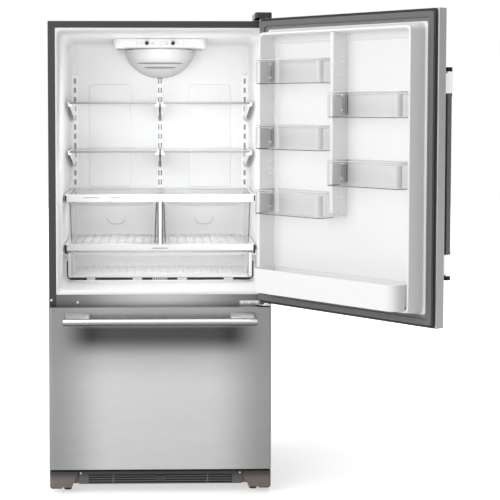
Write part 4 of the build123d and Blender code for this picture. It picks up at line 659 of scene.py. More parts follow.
# The frame's nodes that wear each finish.
WORN = {
    "cabinet": ("cabinet_shell",),
    "rail": ("mullion",),
    "sheet": ("chassis", "rear_panel", "machine_cover"),
    "liner": ("fresh_food_liner", "freezer_liner", "drawer_liner"),
    "foam": ("cabinet_foam", "door_foam", "drawer_foam"),
    "zinc": ("top_hinge", "center_hinge", "outer_slides", "middle_slides", "inner_slides"),
    "black": ("hinge_cover", "compressor"),
    "white_metal": ("shelf_tracks", "shelf_frames_upper", "shelf_frames_lower"),
    "glass": ("glass_panes",),
    "white": tuple(
        "crisper_cover pantry_cover control_housing evaporator_cover lower_basket upper_basket "
        "humidity_left humidity_right light_switch".split()
    ),
    "diffuser": ("light_diffuser",),
    "grille": ("base_grille",),
    "taupe": ("foot_covers",),
    "dark": tuple(
        "condenser drain_pan hinge_bushings leg_left leg_right rear_rollers condenser_fan".split()
    ),
    "fins": ("evaporator",),
    "steel_door": ("door_skin",),
    "liner_door": ("door_liner", "gallon_bin"),
    "lip": ("door_gasket", "drawer_gasket"),
    "bar_door": ("door_handle",),
    "clear_door": ("door_bin_1", "door_bin_2", "door_bin_3", "door_bin_4", "door_bin_5"),
    "steel_drawer": ("drawer_skin",),
    "bar": ("drawer_handle",),
    "clear": ("crisper_left", "crisper_right"),
    "pantry": ("pantry_drawer",),
    "knob": ("knob_left", "knob_right"),
}


# ------------------------------------------------------------------ forms


def mixed(first: Sequence[float], second: Sequence[float], share: float) -> tuple[float, ...]:
    """Numbers between two rows of them."""
    return tuple(a + (b - a) * share for a, b in zip(first, second))


def arc(steps: int, start: float = 0.0, sweep: float = 90.0) -> list[Span]:
    """Cosine and sine at even steps along an arc, both ends included.

    Args:
        steps: pieces of the arc.
        start: where it starts, in degrees.
        sweep: how far it turns, in degrees.

    Returns:
        Pairs of cosine and sine.
    """
    turns = [math.radians(start + sweep * step / steps) for step in range(steps + 1)]
    return [(math.cos(turn), math.sin(turn)) for turn in turns]


def circle(steps: int) -> list[Span]:
    """Cosine and sine at even steps round a circle."""
    return arc(steps, 0.0, 360.0)[:-1]


@dataclass(frozen=True)
class Ring:
    """A rounded rectangle at one depth: half sizes, corner radius, depth and centre."""

    half_u: float
    half_v: float
    radius: float
    depth: float
    u: float = 0.0
    v: float = 0.0
    low_radius: float | None = None  # of the two corners at small v

    def points(self, steps: int) -> list[Point]:
        """Walks round the outline.

        Args:
            steps: pieces of each corner's arc.

        Returns:
            Points as (u, v, depth), the same number for every ring.
        """
        low = self.radius if self.low_radius is None else self.low_radius
        least, most = 0.01, min(self.half_u, self.half_v) - 0.01
        found = []
        for number, (side, up) in enumerate(((1, 1), (-1, 1), (-1, -1), (1, -1))):
            radius = max(least, min(self.radius if up > 0 else low, most))
            u = self.u + side * (self.half_u - radius)
            v = self.v + up * (self.half_v - radius)
            turns = arc(steps, 90 * number)
            found += [(u + radius * c, v + radius * s, self.depth) for c, s in turns]
        return found

    def moved(self, inset: float, depth: float, radius: float | None = None) -> Ring:
        """The ring shrunk by an inset, at another depth."""
        return replace(
            self,
            half_u=self.half_u - inset,
            half_v=self.half_v - inset,
            radius=self.radius - inset if radius is None else radius,
            depth=depth,
        )


def box(u: Span, v: Span, radius: float, depth: float) -> Ring:
    """The ring between two places along u, in either order, and two along v."""
    return Ring(abs(u[1] - u[0]) / 2, (v[1] - v[0]) / 2, radius, depth, sum(u) / 2, sum(v) / 2)


def upright(half: float, low: float, high: float, radius: float, depth: float) -> Ring:
    """The ring of a half width about the cabinet's middle, between two heights."""
    return box((-half, half), (low, high), radius, depth)


def loft(loops: Sequence[Sequence[Vector]], closed: bool = False) -> Form:
    """Joins loops that have the same number of points.

    Args:
        loops: the loops in order.
        closed: whether the last loop joins the first. Otherwise both get a flat.

    Returns:
        The form.
    """
    count, last = len(loops[0]), len(loops) - 1
    faces = []
    for level in range(last + 1 if closed else last):
        low, high = level * count, (level + 1) % len(loops) * count
        for k in range(count):
            after = (k + 1) % count
            faces.append([low + k, low + after, high + after, high + k])
    if not closed:
        faces.append(list(range(count))[::-1])
        faces.append([last * count + k for k in range(count)])
    return [point for loop in loops for point in loop], faces


def skin(rings: Iterable[Ring], steps: int = 4, closed: bool = False) -> Form:
    """Joins rings whose u is X, whose v is Z and whose depth is Y.

    Args:
        rings: the rings in order.
        steps: pieces of each corner's arc.
        closed: whether the last ring joins the first. Otherwise both get a flat.

    Returns:
        The form.
    """
    outlines = (ring.points(steps) for ring in rings)
    return loft([[Vector((u, y, v)) * MM for u, v, y in points] for points in outlines], closed)


def tube(
    path: Iterable[Point], radii: Span, up: Vector = BACK, sides: int = 8, closed: bool = False
) -> Form:
    """Sweeps a small oval along a path.

    Args:
        path: the path's points.
        radii: the oval's half sizes, across the path and along up.
        up: a direction that the path never runs along.
        sides: points round the oval.
        closed: whether the path ends where it starts.

    Returns:
        The form.
    """
    points = [Vector(point) for point in path]
    last = len(points) - 1
    loops = []
    for k, point in enumerate(points):
        before = points[k - 1] if closed or k else point
        after = points[(k + 1) % len(points)] if closed or k < last else point
        across = (after - before).cross(up).normalized() * radii[0]
        loops.append([(point + across * c + up * (radii[1] * s)) * MM for c, s in circle(sides)])
    return loft(loops, closed)


def joined(forms: Iterable[Form]) -> Form:
    """Puts several forms into one.

    Args:
        forms: the forms.

    Returns:
        The whole.
    """
    points: list[Vector] = []
    faces: list[list[int]] = []
    for more, polygons in forms:
        start = len(points)
        points += more
        faces += [[start + k for k in polygon] for polygon in polygons]
    return points, faces


def slab(x: Span, y: Span, z: Span, radius: float = 1.0, edge: float = 0.5) -> Form:
    """A plate with round corners seen from the front and softened front edges.

    Args:
        x: its two sides, in either order.
        y: its front and back.
        z: its low and high ends.
        radius: its corners' radius.
        edge: how far its front edges are taken back.

    Returns:
        The form.
    """
    ring = box(x, z, radius, y[1])
    inner, turn = max(0.02, radius - edge), edge * 0.3
    rings = [
        ring,
        ring.moved(0, y[0] + edge),
        ring.moved(turn, y[0] + turn, inner),
        ring.moved(edge, y[0], inner),
    ]
    return skin(rings)


# ------------------------------------------------------------------ repeats


@dataclass(frozen=True)
class Row:
    """A row of equal studs. The turn is in degrees."""

    count: int
    start: Point
    step: Point
    radius: float
    height: float
    turn: Point = (90.0, 0.0, 0.0)
    sides: int = 20

    def values(self) -> dict[str, int | float | Point]:
        """The row as the tree's inputs, in metres and radians."""
        return {
            "Count": self.count,
            "Start": tuple(v * MM for v in self.start),
            "Step": tuple(v * MM for v in self.step),
            "Turn": tuple(math.radians(v) for v in self.turn),
            "Radius": self.radius * MM,
            "Height": self.height * MM,
            "Sides": self.sides,
        }


class RowTree:
    """A Geometry Nodes tree that sets one rounded stud after another along a line."""

    INPUTS = {
        "Count": "NodeSocketInt",
        "Start": "NodeSocketVector",
        "Step": "NodeSocketVector",
        "Turn": "NodeSocketVector",
        "Radius": "NodeSocketFloat",
        "Height": "NodeSocketFloat",
        "Sides": "NodeSocketInt",
    }
    TOP = 0.72  # the top's radius as a share of the foot's

    def __init__(self) -> None:
        """Builds the tree with its named inputs."""
        self.tree = bpy.data.node_groups.new("row of studs", "GeometryNodeTree")
        sockets = self.tree.interface
        for name, kind in self.INPUTS.items():
            sockets.new_socket(name, in_out="INPUT", socket_type=kind)
        sockets.new_socket("Geometry", in_out="OUTPUT", socket_type="NodeSocketGeometry")
        graph = Graph(self.tree)
        given = graph.node("NodeGroupInput").outputs
        start, step = given["Start"], given["Step"]
        places = {"Count": given["Count"], "Start Location": start, "Offset": step}
        line = graph.node("GeometryNodeMeshLine", {"mode": "OFFSET"}, places)
        cone = {
            "Fill Segments": 1,
            "Vertices": given["Sides"],
            "Radius Bottom": given["Radius"],
            "Radius Top": Term(graph, given["Radius"]) * self.TOP,
            "Depth": given["Height"],
        }
        stud = graph.node("GeometryNodeMeshCone", None, cone)
        turn = graph.node("FunctionNodeEulerToRotation", None, {0: given["Turn"]})
        spread = {
            "Points": line.outputs[0],
            "Instance": stud.outputs["Mesh"],
            "Rotation": turn.outputs[0],
        }
        studs = graph.node("GeometryNodeInstanceOnPoints", None, spread)
        real = graph.node("GeometryNodeRealizeInstances", None, {0: studs.outputs[0]})
        graph.node("NodeGroupOutput", None, {0: real.outputs[0]})

    def form(self, rows: Iterable[Row]) -> Form:
        """Makes one form of several rows of studs.

        Args:
            rows: the rows.

        Returns:
            The form.
        """
        inputs = [item for item in self.tree.interface.items_tree if item.in_out == "INPUT"]
        whole = bmesh.new()
        for row in rows:
            holder = bpy.data.objects.new("row", bpy.data.meshes.new("row"))
            bpy.context.scene.collection.objects.link(holder)
            modifier = holder.modifiers.new("row", "NODES")
            modifier.node_group = self.tree
            values = row.values()
            for item in inputs:
                modifier[item.identifier] = values[item.name]
            graph = bpy.context.evaluated_depsgraph_get()
            whole.from_mesh(bpy.data.meshes.new_from_object(holder.evaluated_get(graph)))
            holder.modifiers.remove(modifier)
            bpy.data.objects.remove(holder)
        whole.verts.index_update()
        points = [vertex.co.copy() for vertex in whole.verts]
        faces = [[vertex.index for vertex in face.verts] for face in whole.faces]
        whole.free()
        return points, faces


# ------------------------------------------------------------------ the model


class Model:
    """The frame's nodes in their finishes, and the pieces that are added to them."""

    def __init__(self, nodes: dict[str, bpy.types.Object]) -> None:
        """Builds the materials and dresses every node of the frame.

        Args:
            nodes: the frame's nodes by their names.
        """
        self.materials = {key: finish.build() for key, finish in FINISHES.items()}
        self.rows = RowTree()
        for finish, names in WORN.items():
            for name in names:
                held = nodes[name]
                if not held.material_slots:
                    held.data.materials.append(self.materials[finish])
                for slot in held.material_slots:
                    slot.material = self.materials[finish]
                LOG.info("%s dressed", name)

    def add(
        self,
        name: str,
        form: Form,
        finish: str,
        body: Body = Body.CABINET,
        replaces: Iterable[str] = (),
        place: Matrix = STILL,
        sharp: float = 32.0,
    ) -> None:
        """Shows a closed form as a piece that rides on a body, with its faces outwards.

        Args:
            name: the piece's name.
            form: its points and faces.
            finish: its finish, by its name in FINISHES.
            body: the body it rides on.
            replaces: the frame's nodes it stands for.
            place: moves the points, such as from the shut door to the open one.
            sharp: edges over this angle in degrees stay sharp.
        """
        points, faces = form
        data = bpy.data.meshes.new(name)
        data.from_pydata([place @ point for point in points], [], faces)
        data.materials.append(self.materials[finish])
        data.shade_smooth()
        data.set_sharp_from_angle(angle=math.radians(sharp))
        made = bpy.data.objects.new(name, data)
        bpy.context.scene.collection.objects.link(made)
        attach(made, body.value)
        nodes = tuple(replaces)
        if nodes:
            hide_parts(*nodes)
        mesh = bmesh.new()
        mesh.from_mesh(data)
        bmesh.ops.remove_doubles(mesh, verts=mesh.verts, dist=1e-6)
        bmesh.ops.recalc_face_normals(mesh, faces=mesh.faces)
        mesh.to_mesh(data)
        mesh.free()
        LOG.info("%s: %d faces on %s", name, len(data.polygons), body.value)

    def add_on_door(
        self, name: str, form: Form, finish: str, body: Body = Body.DOOR, **more: object
    ) -> None:
        """Shows a form that is given in the shut door's axes.

        Args:
            name: the piece's name.
            form: its points and faces.
            finish: its finish, by its name in FINISHES.
            body: the body it rides on.
            **more: what else add takes.
        """
        self.add(name, form, finish, body, place=DOOR_SWING, **more)


@dataclass
class Group:
    """Pieces that belong together and are added to one model."""

    model: Model

    def build(self) -> None:
        """Builds every piece of the group."""
        raise NotImplementedError


# ------------------------------------------------------------------ refrigerator compartment


@dataclass
class Compartment(Group):
    """The white moulded space behind the door, with its raised back wall."""

    mouth: Point = (388.8, 748.2, 1742.8)  # half width, low and high
    throat: Point = (378.0, 764.0, 1731.0)
    back: Point = (372.0, 772.0, 1710.0)
    throat_depth: float = 14.0
    depth: float = 597.0
    wall: float = 2.0
    corner: float = 24.0
    back_fillet: float = 22.0

    def build(self) -> None:
        """Builds every piece of the compartment."""
        self.slots()
        self.shelf_edges()
        self.shell()
        self.ledges()
        self.relief()

    def along(self, depth: float) -> Ring:
        """The space's outline at a depth behind the throat."""
        share = (depth - self.throat_depth) / (self.depth - self.throat_depth)
        return upright(*mixed(self.throat, self.back, share), self.corner, depth)

    def shell(self) -> None:
        """Builds the moulded liner as a closed skin with two faces."""
        mouth = upright(*self.mouth, 7, 0)
        back, throat = self.along(self.depth), self.along(self.throat_depth)
        behind = self.depth + self.wall
        rings = [
            back.moved(20 - self.wall, behind, 10),
            back.moved(-self.wall, behind, 26),
            throat.moved(-self.wall, self.throat_depth, 26),
            mouth.moved(-0.1, self.wall),
            mouth,
            mouth.moved(1.5, 0),
        ]
        lip = (self.mouth[0] - 2, self.mouth[1] + 2, self.mouth[2] - 2)
        for c, s in arc(7)[1:]:
            sizes = mixed(lip, self.throat, s)
            rings.append(upright(*sizes, 8 + 16 * s, self.throat_depth * (1 - c)))
        rings += [self.along(depth) for depth in (60, 200, 400, self.depth - self.back_fillet - 20)]
        radius = self.back_fillet
        rings += [back.moved(radius * (1 - c), self.depth - radius * (1 - s)) for c, s in arc(6)]
        form = skin(rings, 6)
        self.model.add("refrigerator_liner", form, "liner", replaces=["fresh_food_liner"])

    def ledges(self) -> None:
        """Builds the ledges that carry the covers and the pantry drawer."""
        outer, half_v, radius = 380, 6.5, 4
        ends = ((206, 5), (209, 1.5), (214, 0), (578, 0), (583, 2))  # depth and inset
        for name, top, inner in (
            ("crisper", 1082.7, 361.0),
            ("pantry", 892.7, 361.0),
            ("pantry_drawer", 882.5, 352.5),
        ):
            half = (outer - inner) / 2
            for label, side in SIDES:
                whole = Ring(half, half_v, radius, 0, side * (inner + half), top - half_v)
                rings = [whole.moved(inset, y, radius - inset * 0.6) for y, inset in ends]
                self.model.add(f"{name}_ledge_{label}", skin(rings), "liner")

    def relief(self) -> None:
        """Builds the raised panels of the back wall and the columns above the side tracks."""
        for name, u, half, low, high, radius, rise in (
            ("back_panel", 207.0, 89.0, 1113.0, 1543.7, 16.0, 3.0),
            ("track_column", 352.0, 14.0, 1580.1, 1706.0, 5.0, 4.5),
        ):
            for label, side in SIDES:
                base = replace(upright(half, low, high, radius, self.depth + 0.5), u=side * u)
                rings = [base]
                for c, s in arc(4):
                    inset = 2 + rise * (1 - c) * 1.2
                    rings.append(base.moved(inset, self.depth - rise * s, radius))
                self.model.add(f"{name}_{label}", skin(rings, 5), "liner")

    def slots(self) -> None:
        """Builds painted shade for the tracks' slots: a dark sheet behind them, and dark plates
        over the side tracks' slots.
        """
        # painted shade: a dark sheet where the slots would show shadow
        backs = [
            slab(x, (596.3, 597.2), (1114, 1577), 1.0, 0.2)
            for x in ((-363, -341), (-10, 10), (341, 363))
        ]
        self.model.add("slot_shade_backs", joined(backs), "mid_grey")
        count, pitch, first = 12, 38.1, 1136.0
        # painted shade over the side tracks' slots
        shades = [
            slab((x - 4.6, x + 4.6), (590.4, 591.3), (z - 10, z + 10), 1.4, 0.3)
            for x in (-352.0, 352.0)
            for z in (first + row * pitch for row in range(count))
        ]
        self.model.add("side_slot_shades", joined(shades), "mid_grey")

    def shelf_edges(self) -> None:
        """Builds the grey face of each shelf's front rail."""
        edges = [
            slab((side * 12.0, side * 354.0), (261.3, 262.6), (top - 7.0, top - 0.4), 0.8, 0.3)
            for top in (1277.3, 1467.8)
            for _, side in SIDES
        ]
        self.model.add("shelf_front_edges", joined(edges), "deep_grey")


# ------------------------------------------------------------------ control housing


@dataclass
class ControlFace(Group):
    """The plate, rings, tab and ticks on the front of the control housing."""

    front: float = 327.5
    plate: Point = (92.0, 1684.0, 1717.0)  # half width, low and high
    knob_height: float = 1700.0
    ring_radius: float = 6.7

    def build(self) -> None:
        """Builds the face."""
        outline = upright(*self.plate, 3, self.front - 0.2).points(4)
        rim = tube([(u, y, v) for u, v, y in outline], (0.8, 0.7), sides=6, closed=True)
        self.model.add("control_rim", rim, "pale_grey")
        self.model.add("control_rings", self.rings(), "pale_grey")
        self.model.add("control_fins", self.fins(), "white")
        self.model.add("control_ticks", self.ticks(), "mid_grey")
        lines = [
            slab((-183, 183), (self.front - 0.6, self.front + 1), (1716.6, 1718.0), 0.6, 0.2),
            slab((-142, 142), (self.front - 0.4, self.front + 1), (1681.0, 1682.6), 0.6, 0.2),
        ]
        self.model.add("control_shade_lines", joined(lines), "pale_grey")

    def rings(self) -> Form:
        """Thin rings beside the knobs.

        Returns:
            The form.
        """
        y, z, radius = self.front - 0.2, self.knob_height, self.ring_radius
        paths = (
            [(x + radius * c, y, z + radius * s) for c, s in circle(28)] for x in (-79, -29, 24, 73)
        )
        return joined(tube(path, (0.6, 0.5), sides=6, closed=True) for path in paths)

    def fins(self) -> Form:
        """The pointed ends of the housing's top edge and the white tab at its middle.

        Returns:
            The form.
        """
        parts = [slab((-6, 2), (self.front - 2.6, self.front + 3), (1713, 1719.2))]
        for _, side in SIDES:
            path = [
                (side * x, self.front + y, z)
                for x, y, z in ((181.5, 2, 1719.0), (179.0, 1, 1706.0), (175.5, 1, 1688.0))
            ]
            parts.append(tube(path, (1.4, 1.2), sides=6))
        return joined(parts)

    def ticks(self) -> Form:
        """Short plain ticks above and between the knobs.

        Returns:
            The form.
        """
        y = (self.front - 0.5, self.front + 0.5)
        parts = [
            slab(x, y, (z, z + 1.3), 0.6, 0.2)
            for x, z in (((-58, -45), 1711.0), ((45, 58), 1711.0), ((-16, 14), 1692.0))
        ]
        count, pitch, first = 5, 2.6, 1704
        parts += [
            slab((x - 3, x + 3), y, (z, z + 0.9), 0.4, 0.15)
            for x in (-26.0, 27.5)
            for z in (first - k * pitch for k in range(count))
        ]
        return joined(parts)


# ------------------------------------------------------------------ light and its diffuser


@dataclass
class LightBowl(Group):
    """The half bowl below the control housing: it spreads the lamp's light."""

    top: float = 1679.7
    wall_at: float = 596.5
    thickness: float = 2.5
    levels: tuple[Point, ...] = (  # drop below the housing, half width and reach
        (0, 144, 210),
        (14, 142, 206),
        (30, 137, 196),
        (46, 129, 180),
        (62, 117, 159),
        (78, 101, 133),
        (93, 80, 102),
        (105, 54, 68),
        (112, 27, 34),
    )
    louvres: tuple[Span, ...] = ((55, 94), (72, 68))  # drop and half width
    fullness: float = 0.92  # power of the sine, under one for a fuller front

    def build(self) -> None:
        """Builds the bowl and its louvres."""
        self.shell()
        self.eyebrows()

    def front(self, reach: float, sine: float) -> float:
        """How far forward the bowl stands where its outline has a sine."""
        return self.wall_at - reach * max(0.0, sine) ** self.fullness

    def shell(self) -> None:
        """Builds the bowl as a shell, closed at the bottom and open to the housing above."""
        thick = self.thickness
        floor = self.levels[-1][0] - thick
        outlines = list(self.levels)
        outlines += [(min(d, floor), h - thick, r - thick) for d, h, r in self.levels[::-1]]
        turns = arc(40, 0.0, 180.0)
        count, total, bottom = len(turns), len(outlines), len(self.levels) - 1
        points = [
            Vector((half * c, self.front(reach, s), self.top - drop)) * MM
            for drop, half, reach in outlines
            for c, s in turns
        ]
        faces = []
        for level in range(total):
            if level != bottom:
                low, high = level * count, (level + 1) % total * count
                faces += [[low + k, low + k + 1, high + k + 1, high + k] for k in range(count - 1)]
        a, b = bottom * count, (bottom + 1) * count
        faces += [list(range(a, b)), list(range(b, b + count))[::-1]]
        for end in (0, count - 1):
            rim = [(k * count + end, (total - 1 - k) * count + end) for k in range(bottom + 1)]
            faces += [[p, r, s, q] for (p, q), (r, s) in zip(rim, rim[1:])]
        faces.append([a, b - 1, b + count - 1, b])
        self.model.add(
            "light_bowl", (points, faces), "diffuser", replaces=["light_diffuser"], sharp=50
        )

    def at(self, drop: float) -> Span:
        """The bowl's half width and reach at one height.

        Args:
            drop: how far below the housing.

        Returns:
            The half width and the reach.
        """
        for low, high in zip(self.levels, self.levels[1:]):
            if low[0] <= drop <= high[0]:
                return mixed(low[1:], high[1:], (drop - low[0]) / (high[0] - low[0]))
        return self.levels[-1][1:]

    def eyebrows(self) -> None:
        """Builds the two lens-shaped louvres: a grey lens of painted shade for the slot, under a
        thin hood.
        """
        steps, sunk = 36, 0.8
        for number, (drop, half) in enumerate(self.louvres, 1):
            for name, finish, height, proud, shift in (
                # the slot's grey is painted shade
                ("slot", "mid_grey", 4.2, 0.6, 0.0),
                ("hood", "diffuser", 1.6, 3.4, 4.4),
            ):
                loops = []
                for step in range(steps + 1):
                    share = step / steps * 2 - 1
                    swell = (1 - share * share) ** 0.5
                    loop = []
                    for level, outs in ((-1, (-sunk, proud * swell)), (1, (proud * swell, -sunk))):
                        at_drop = drop - shift - level * (height * swell + 0.05)
                        width, reach = self.at(at_drop)
                        turn = math.acos(max(-1, min(1, half * share / width)))
                        y = self.front(reach, math.sin(turn))
                        z = self.top - at_drop
                        loop += [Vector((half * share, y - out, z)) * MM for out in outs]
                    loops.append(loop)
                self.model.add(f"louvre_{name}_{number}", loft(loops), finish)


# ------------------------------------------------------------------ door


@dataclass
class DoorInside(Group):
    """The moulded inner side of the door: rim, recess, centre rib and lugs."""

    back: float = -13.0
    plate: Point = (399.8, 737.7, 1759.8)  # half width, low and high
    rim: Point = (358.0, 766.0, 1726.0)
    ridge: float = 55.0
    ridge_inset: float = 8.0
    ridge_width: float = 8.5
    ridge_fillet: float = 3.0
    floor: float = -22.0
    floor_fillet: float = 7.0
    draft: float = 4.0
    rib: Span = (1072.0, 1708.0)  # low and high
    bin_bottoms: tuple[float, ...] = (1064, 1181, 1298, 1415, 1532)
    gallon_lugs: float = 805.0
    lug: Span = (5.0, 5.0)  # radius and height
    lug_depth: float = 10.0
    lug_pitch: float = 50.0
    lug_rise: float = 24.0  # of the lower lug above its bin's bottom

    def build(self) -> None:
        """Builds the door's inner side."""
        self.moulding()
        self.centre_rib()
        self.lugs()

    def moulding(self) -> None:
        """Builds the sheet with its raised rim and sunk floor."""
        plate = upright(*self.plate, 6, self.back)
        rim = upright(*self.rim, 24, self.back)
        rings = [
            plate.moved(90, self.floor - 2, 6),
            plate.moved(84, self.floor - 2, 6),
            plate.moved(72, self.back - 2, 6),
            plate.moved(0, self.back - 2),
            plate,
            rim.moved(-7, self.back, 30),
            rim.moved(-3.2, self.back + 0.8, 27),
            rim.moved(-1.0, self.back + 2.6, 25),
            rim.moved(0.2, self.back + 7, 24),
        ]
        small, large = self.ridge_fillet, self.floor_fillet
        inset = self.ridge_inset
        for c, s in arc(4):
            rings.append(rim.moved(inset + small * (1 - c) - 0.4, self.ridge - small * (1 - s), 17))
        inset += self.ridge_width
        for c, s in arc(4):
            rings.append(rim.moved(inset - small * (1 - s), self.ridge - small * (1 - c), 14))
        inset += self.draft
        for c, s in arc(5):
            rings.append(rim.moved(inset + large * (1 - c), self.floor + large * (1 - s), 12))
        self.model.add_on_door(
            "door_moulding", skin(rings, 6), "liner_door", replaces=["door_liner"]
        )

    def centre_rib(self) -> None:
        """Builds the upright rib between the two columns of bins, sloped at its foot."""
        low, high = self.rib
        profile = [(-12.6, 0.0), (-12.2, 5.0)]
        profile += [(-8.6 * c, 68.5 + 4.2 * s) for c, s in arc(6, 0.0, 180.0)]
        profile += [(12.2, 5.0), (12.6, 0.0)]
        foot = ((-0.6, 0.01), (3, 0.30), (7, 0.62), (11, 0.90), (14, 1.0))
        heights = [(low + rise, share) for rise, share in foot] + [(high, 1.0)]
        loops = [
            [Vector((x, self.floor - 0.5 + y * share, z)) * MM for x, y in profile]
            for z, share in heights
        ]
        self.model.add_on_door("door_rib", loft(loops), "liner_door", sharp=40)

    def lugs(self) -> None:
        """Builds the pairs of lugs that the bins hang on."""
        ends = ((335.2, -90), (14.3, 90), (-335.2, 90), (-14.3, -90))  # x and turn
        lows = [bottom + self.lug_rise for bottom in self.bin_bottoms]
        places = [(x, turn, z) for z in lows for x, turn in ends]
        places += [(x, turn, self.gallon_lugs) for x, turn in ends[::2]]
        step = (0, 0, self.lug_pitch)
        rows = [
            Row(2, (x, self.lug_depth, z), step, *self.lug, (0, turn, 0)) for x, turn, z in places
        ]
        self.model.add_on_door("bin_lugs", self.model.rows.form(rows), "liner_door")


@dataclass
class Gasket(Group):
    """A magnetic gasket round a panel: a soft lip, a bellows darker as painted shade, and a black
    ring of painted shadow outside it.
    """

    node: str
    body: Body
    low: float
    high: float
    place: Matrix
    half: float = 400.0
    back: float = -13.0
    reach: float = 12.4

    def build(self) -> None:
        """Builds the lip, the bellows and the ring of painted shadow as rings of an inset and a
        rise.
        """
        outer = upright(self.half, self.low, self.high, 10, self.back)
        reach = self.reach
        lip = ((31.8, 0.1), (31.5, 1.6), (29.5, 2.8), (24, 3.1), (20.5, 3.6), (18, 3.0), (18, 0.1))
        outside = ((20, 0.1), (20.6, 3.2), (18.8, 4.6), (20.4, 6.2))
        crown = (
            (20.6, reach - 2.4),
            (18.6, reach - 0.3),
            (16.0, reach),
            (4.0, reach),
            (1.2, reach - 0.4),
            (0.2, reach - 2.4),
        )
        inside = ((0.6, 6.2), (2.2, 4.6), (0.4, 3.2), (1.0, 0.1))
        # a black ring of painted shadow in the gap outside the gasket
        hem_shadow = ((-9.0, -0.6), (-9.0, 0.5), (0.6, 0.5), (0.6, -0.6))
        for label, finish, profile, nodes in (
            ("lip", "lip", lip, (self.node,)),
            ("bellows", "bellows", outside + crown + inside, ()),
            ("hem_shadow", "painted_shadow", hem_shadow, ()),
        ):
            rings = [outer.moved(inset, self.back + rise, 10) for inset, rise in profile]
            form = skin(rings, 6, closed=True)
            name = f"{self.node}_{label}"
            self.model.add(name, form, finish, self.body, nodes, self.place, sharp=50)


# ------------------------------------------------------------------ bins on the door


@dataclass
class BinTrim(Group):
    """Beads of the clear bins and the white gallon bin, with painted highlights on the clear bins'
    corners and painted shade along their thick edges, in the shut door's axes.
    """

    start: float = 12.8
    end: float = 336.7
    back: float = -21.0
    depth: float = 114.0
    height: float = 88.0
    foot_back: float = 18.0  # the foot's bead ends in front of the grooves for the lugs
    corner: float = 18.0
    hinge_side: tuple[float, ...] = (1064.0, 1298.0, 1532.0)
    free_side: tuple[float, ...] = (1181.0, 1415.0)
    gallon: Span = (790.0, 869.0)  # low and high
    gallon_depth: float = 131.0
    gallon_corner: float = 38.0

    def build(self) -> None:
        """Builds the trim of every bin."""
        places = [(1, bottom) for bottom in self.hinge_side]
        places += [(-1, bottom) for bottom in self.free_side]
        for number, (side, bottom) in enumerate(places, 1):
            self.clear_bin(number, side, bottom)
        self.gallon_bin()

    def outline(self, side: int, inset: float, height: float) -> list[Point]:
        """The outline of one clear bin, from its front corner round.

        Args:
            side: +1 on the hinge side, -1 on the free side.
            inset: how far it is shrunk.
            height: its height.

        Returns:
            The outline's points.
        """
        half, deep = (self.end - self.start) / 2, self.depth / 2
        whole = Ring(half, deep, self.corner, 0, side * (self.start + half), self.back + deep, 1.0)
        return whole.moved(inset, height).points(8)

    def clear_bin(self, number: int, side: int, bottom: float) -> None:
        """Builds the rolled rim, the step below it, painted highlights on the round corners, and
        painted shade along the ends' thick edges and the foot's edge.

        Args:
            number: the bin's number.
            side: +1 on the hinge side, -1 on the free side.
            bottom: the bin's lowest height.
        """
        add, body, top = self.model.add_on_door, Body(f"door_bin_{number}"), bottom + self.height
        rim = [
            tube(self.outline(side, 0.7, top - 1.4), (1.5, 1.5), UP, closed=True),
            tube(self.outline(side, 0.5, top - 9.0), (0.7, 0.8), UP, 6, True),
        ]
        add(f"bin_rim_{number}", joined(rim), "bin_rim", body)
        bright, dark = [], []
        low, high = bottom + 5.0, top - 9.5
        for end, outwards in ((self.start, -side), (self.end, side)):
            centre = (side * end - outwards * self.corner, self.back + self.depth - self.corner)
            # painted highlight on the corner's round wall
            bright.append(self.corner_highlight(centre, outwards, (low, high)))
            # painted shade along the end walls' thick edges
            x = side * end - outwards * 1.6
            for y, radius in ((self.back + 2.6, 1.7), (self.back + 13.0, 0.8)):
                path = [(x, y, z) for z in (bottom + 9, high, high + 7)]
                dark.append(tube(path, (radius, radius)))
        add(f"bin_corner_highlights_{number}", joined(bright), "bin_rim", body)
        add(f"bin_end_shades_{number}", joined(dark), "bin_edge_shade", body)
        # painted shade along the thick foot's edge
        outline = self.outline(side, 2.2, bottom + 1.9)
        front = outline[: len(outline) // 2]
        ends = [(x, self.foot_back, z) for x, _, z in (front[0], front[-1])]
        foot = tube([ends[0], *front, ends[1]], (1.3, 1.4), UP)
        add(f"bin_foot_shade_{number}", foot, "bin_edge_shade", body)

    def corner_highlight(self, centre: Span, outwards: int, heights: Span) -> Form:
        """A painted highlight on the round wall of one front corner.

        Args:
            centre: the corner's middle, as x and y.
            outwards: +1 where the bin's end faces to the right.
            heights: its low and high ends.

        Returns:
            The form.
        """
        low, high = heights
        outer, inner = self.corner - 0.2, self.corner - 2.2
        corners = ((outer, low), (outer, high), (inner, high), (inner, low))
        loops = []
        for c, s in arc(8):
            x, y = outwards * s, c
            loops.append(
                [Vector((centre[0] + r * x, centre[1] + r * y, z)) * MM for r, z in corners]
            )
        return loft(loops)

    def gallon_bin(self) -> None:
        """Builds the lip of the gallon bin, its groove line and the ribs inside its hinge end."""
        low, high = self.gallon
        deep = self.gallon_depth / 2
        whole = Ring(self.end, deep, self.gallon_corner, 0, 0, self.back + deep, 1.0)
        lip = []
        for inset, height, radii, sides in (
            (2.0, high - 2.4, (2.0, 2.4), 8),
            (0.9, high - 12.0, (0.9, 1.2), 6),
            (1.0, low - 6.6, (1.0, 1.3), 6),
        ):
            lip.append(tube(whole.moved(inset, height).points(12), radii, UP, sides, True))
        self.model.add_on_door("gallon_lip", joined(lip), "liner_door", Body.GALLON_BIN)
        count, pitch, first = 5, 20, self.back + 22
        heights = (low + 4, low + 34, high - 8)
        paths = (
            [(self.end - 7.2, first + k * pitch, z) for z in heights] for k in range(count)
        )
        ribs = joined(tube(path, (1.6, 1.2), RIGHT, 6) for path in paths)
        self.model.add_on_door("gallon_ribs", ribs, "liner_door", Body.GALLON_BIN)


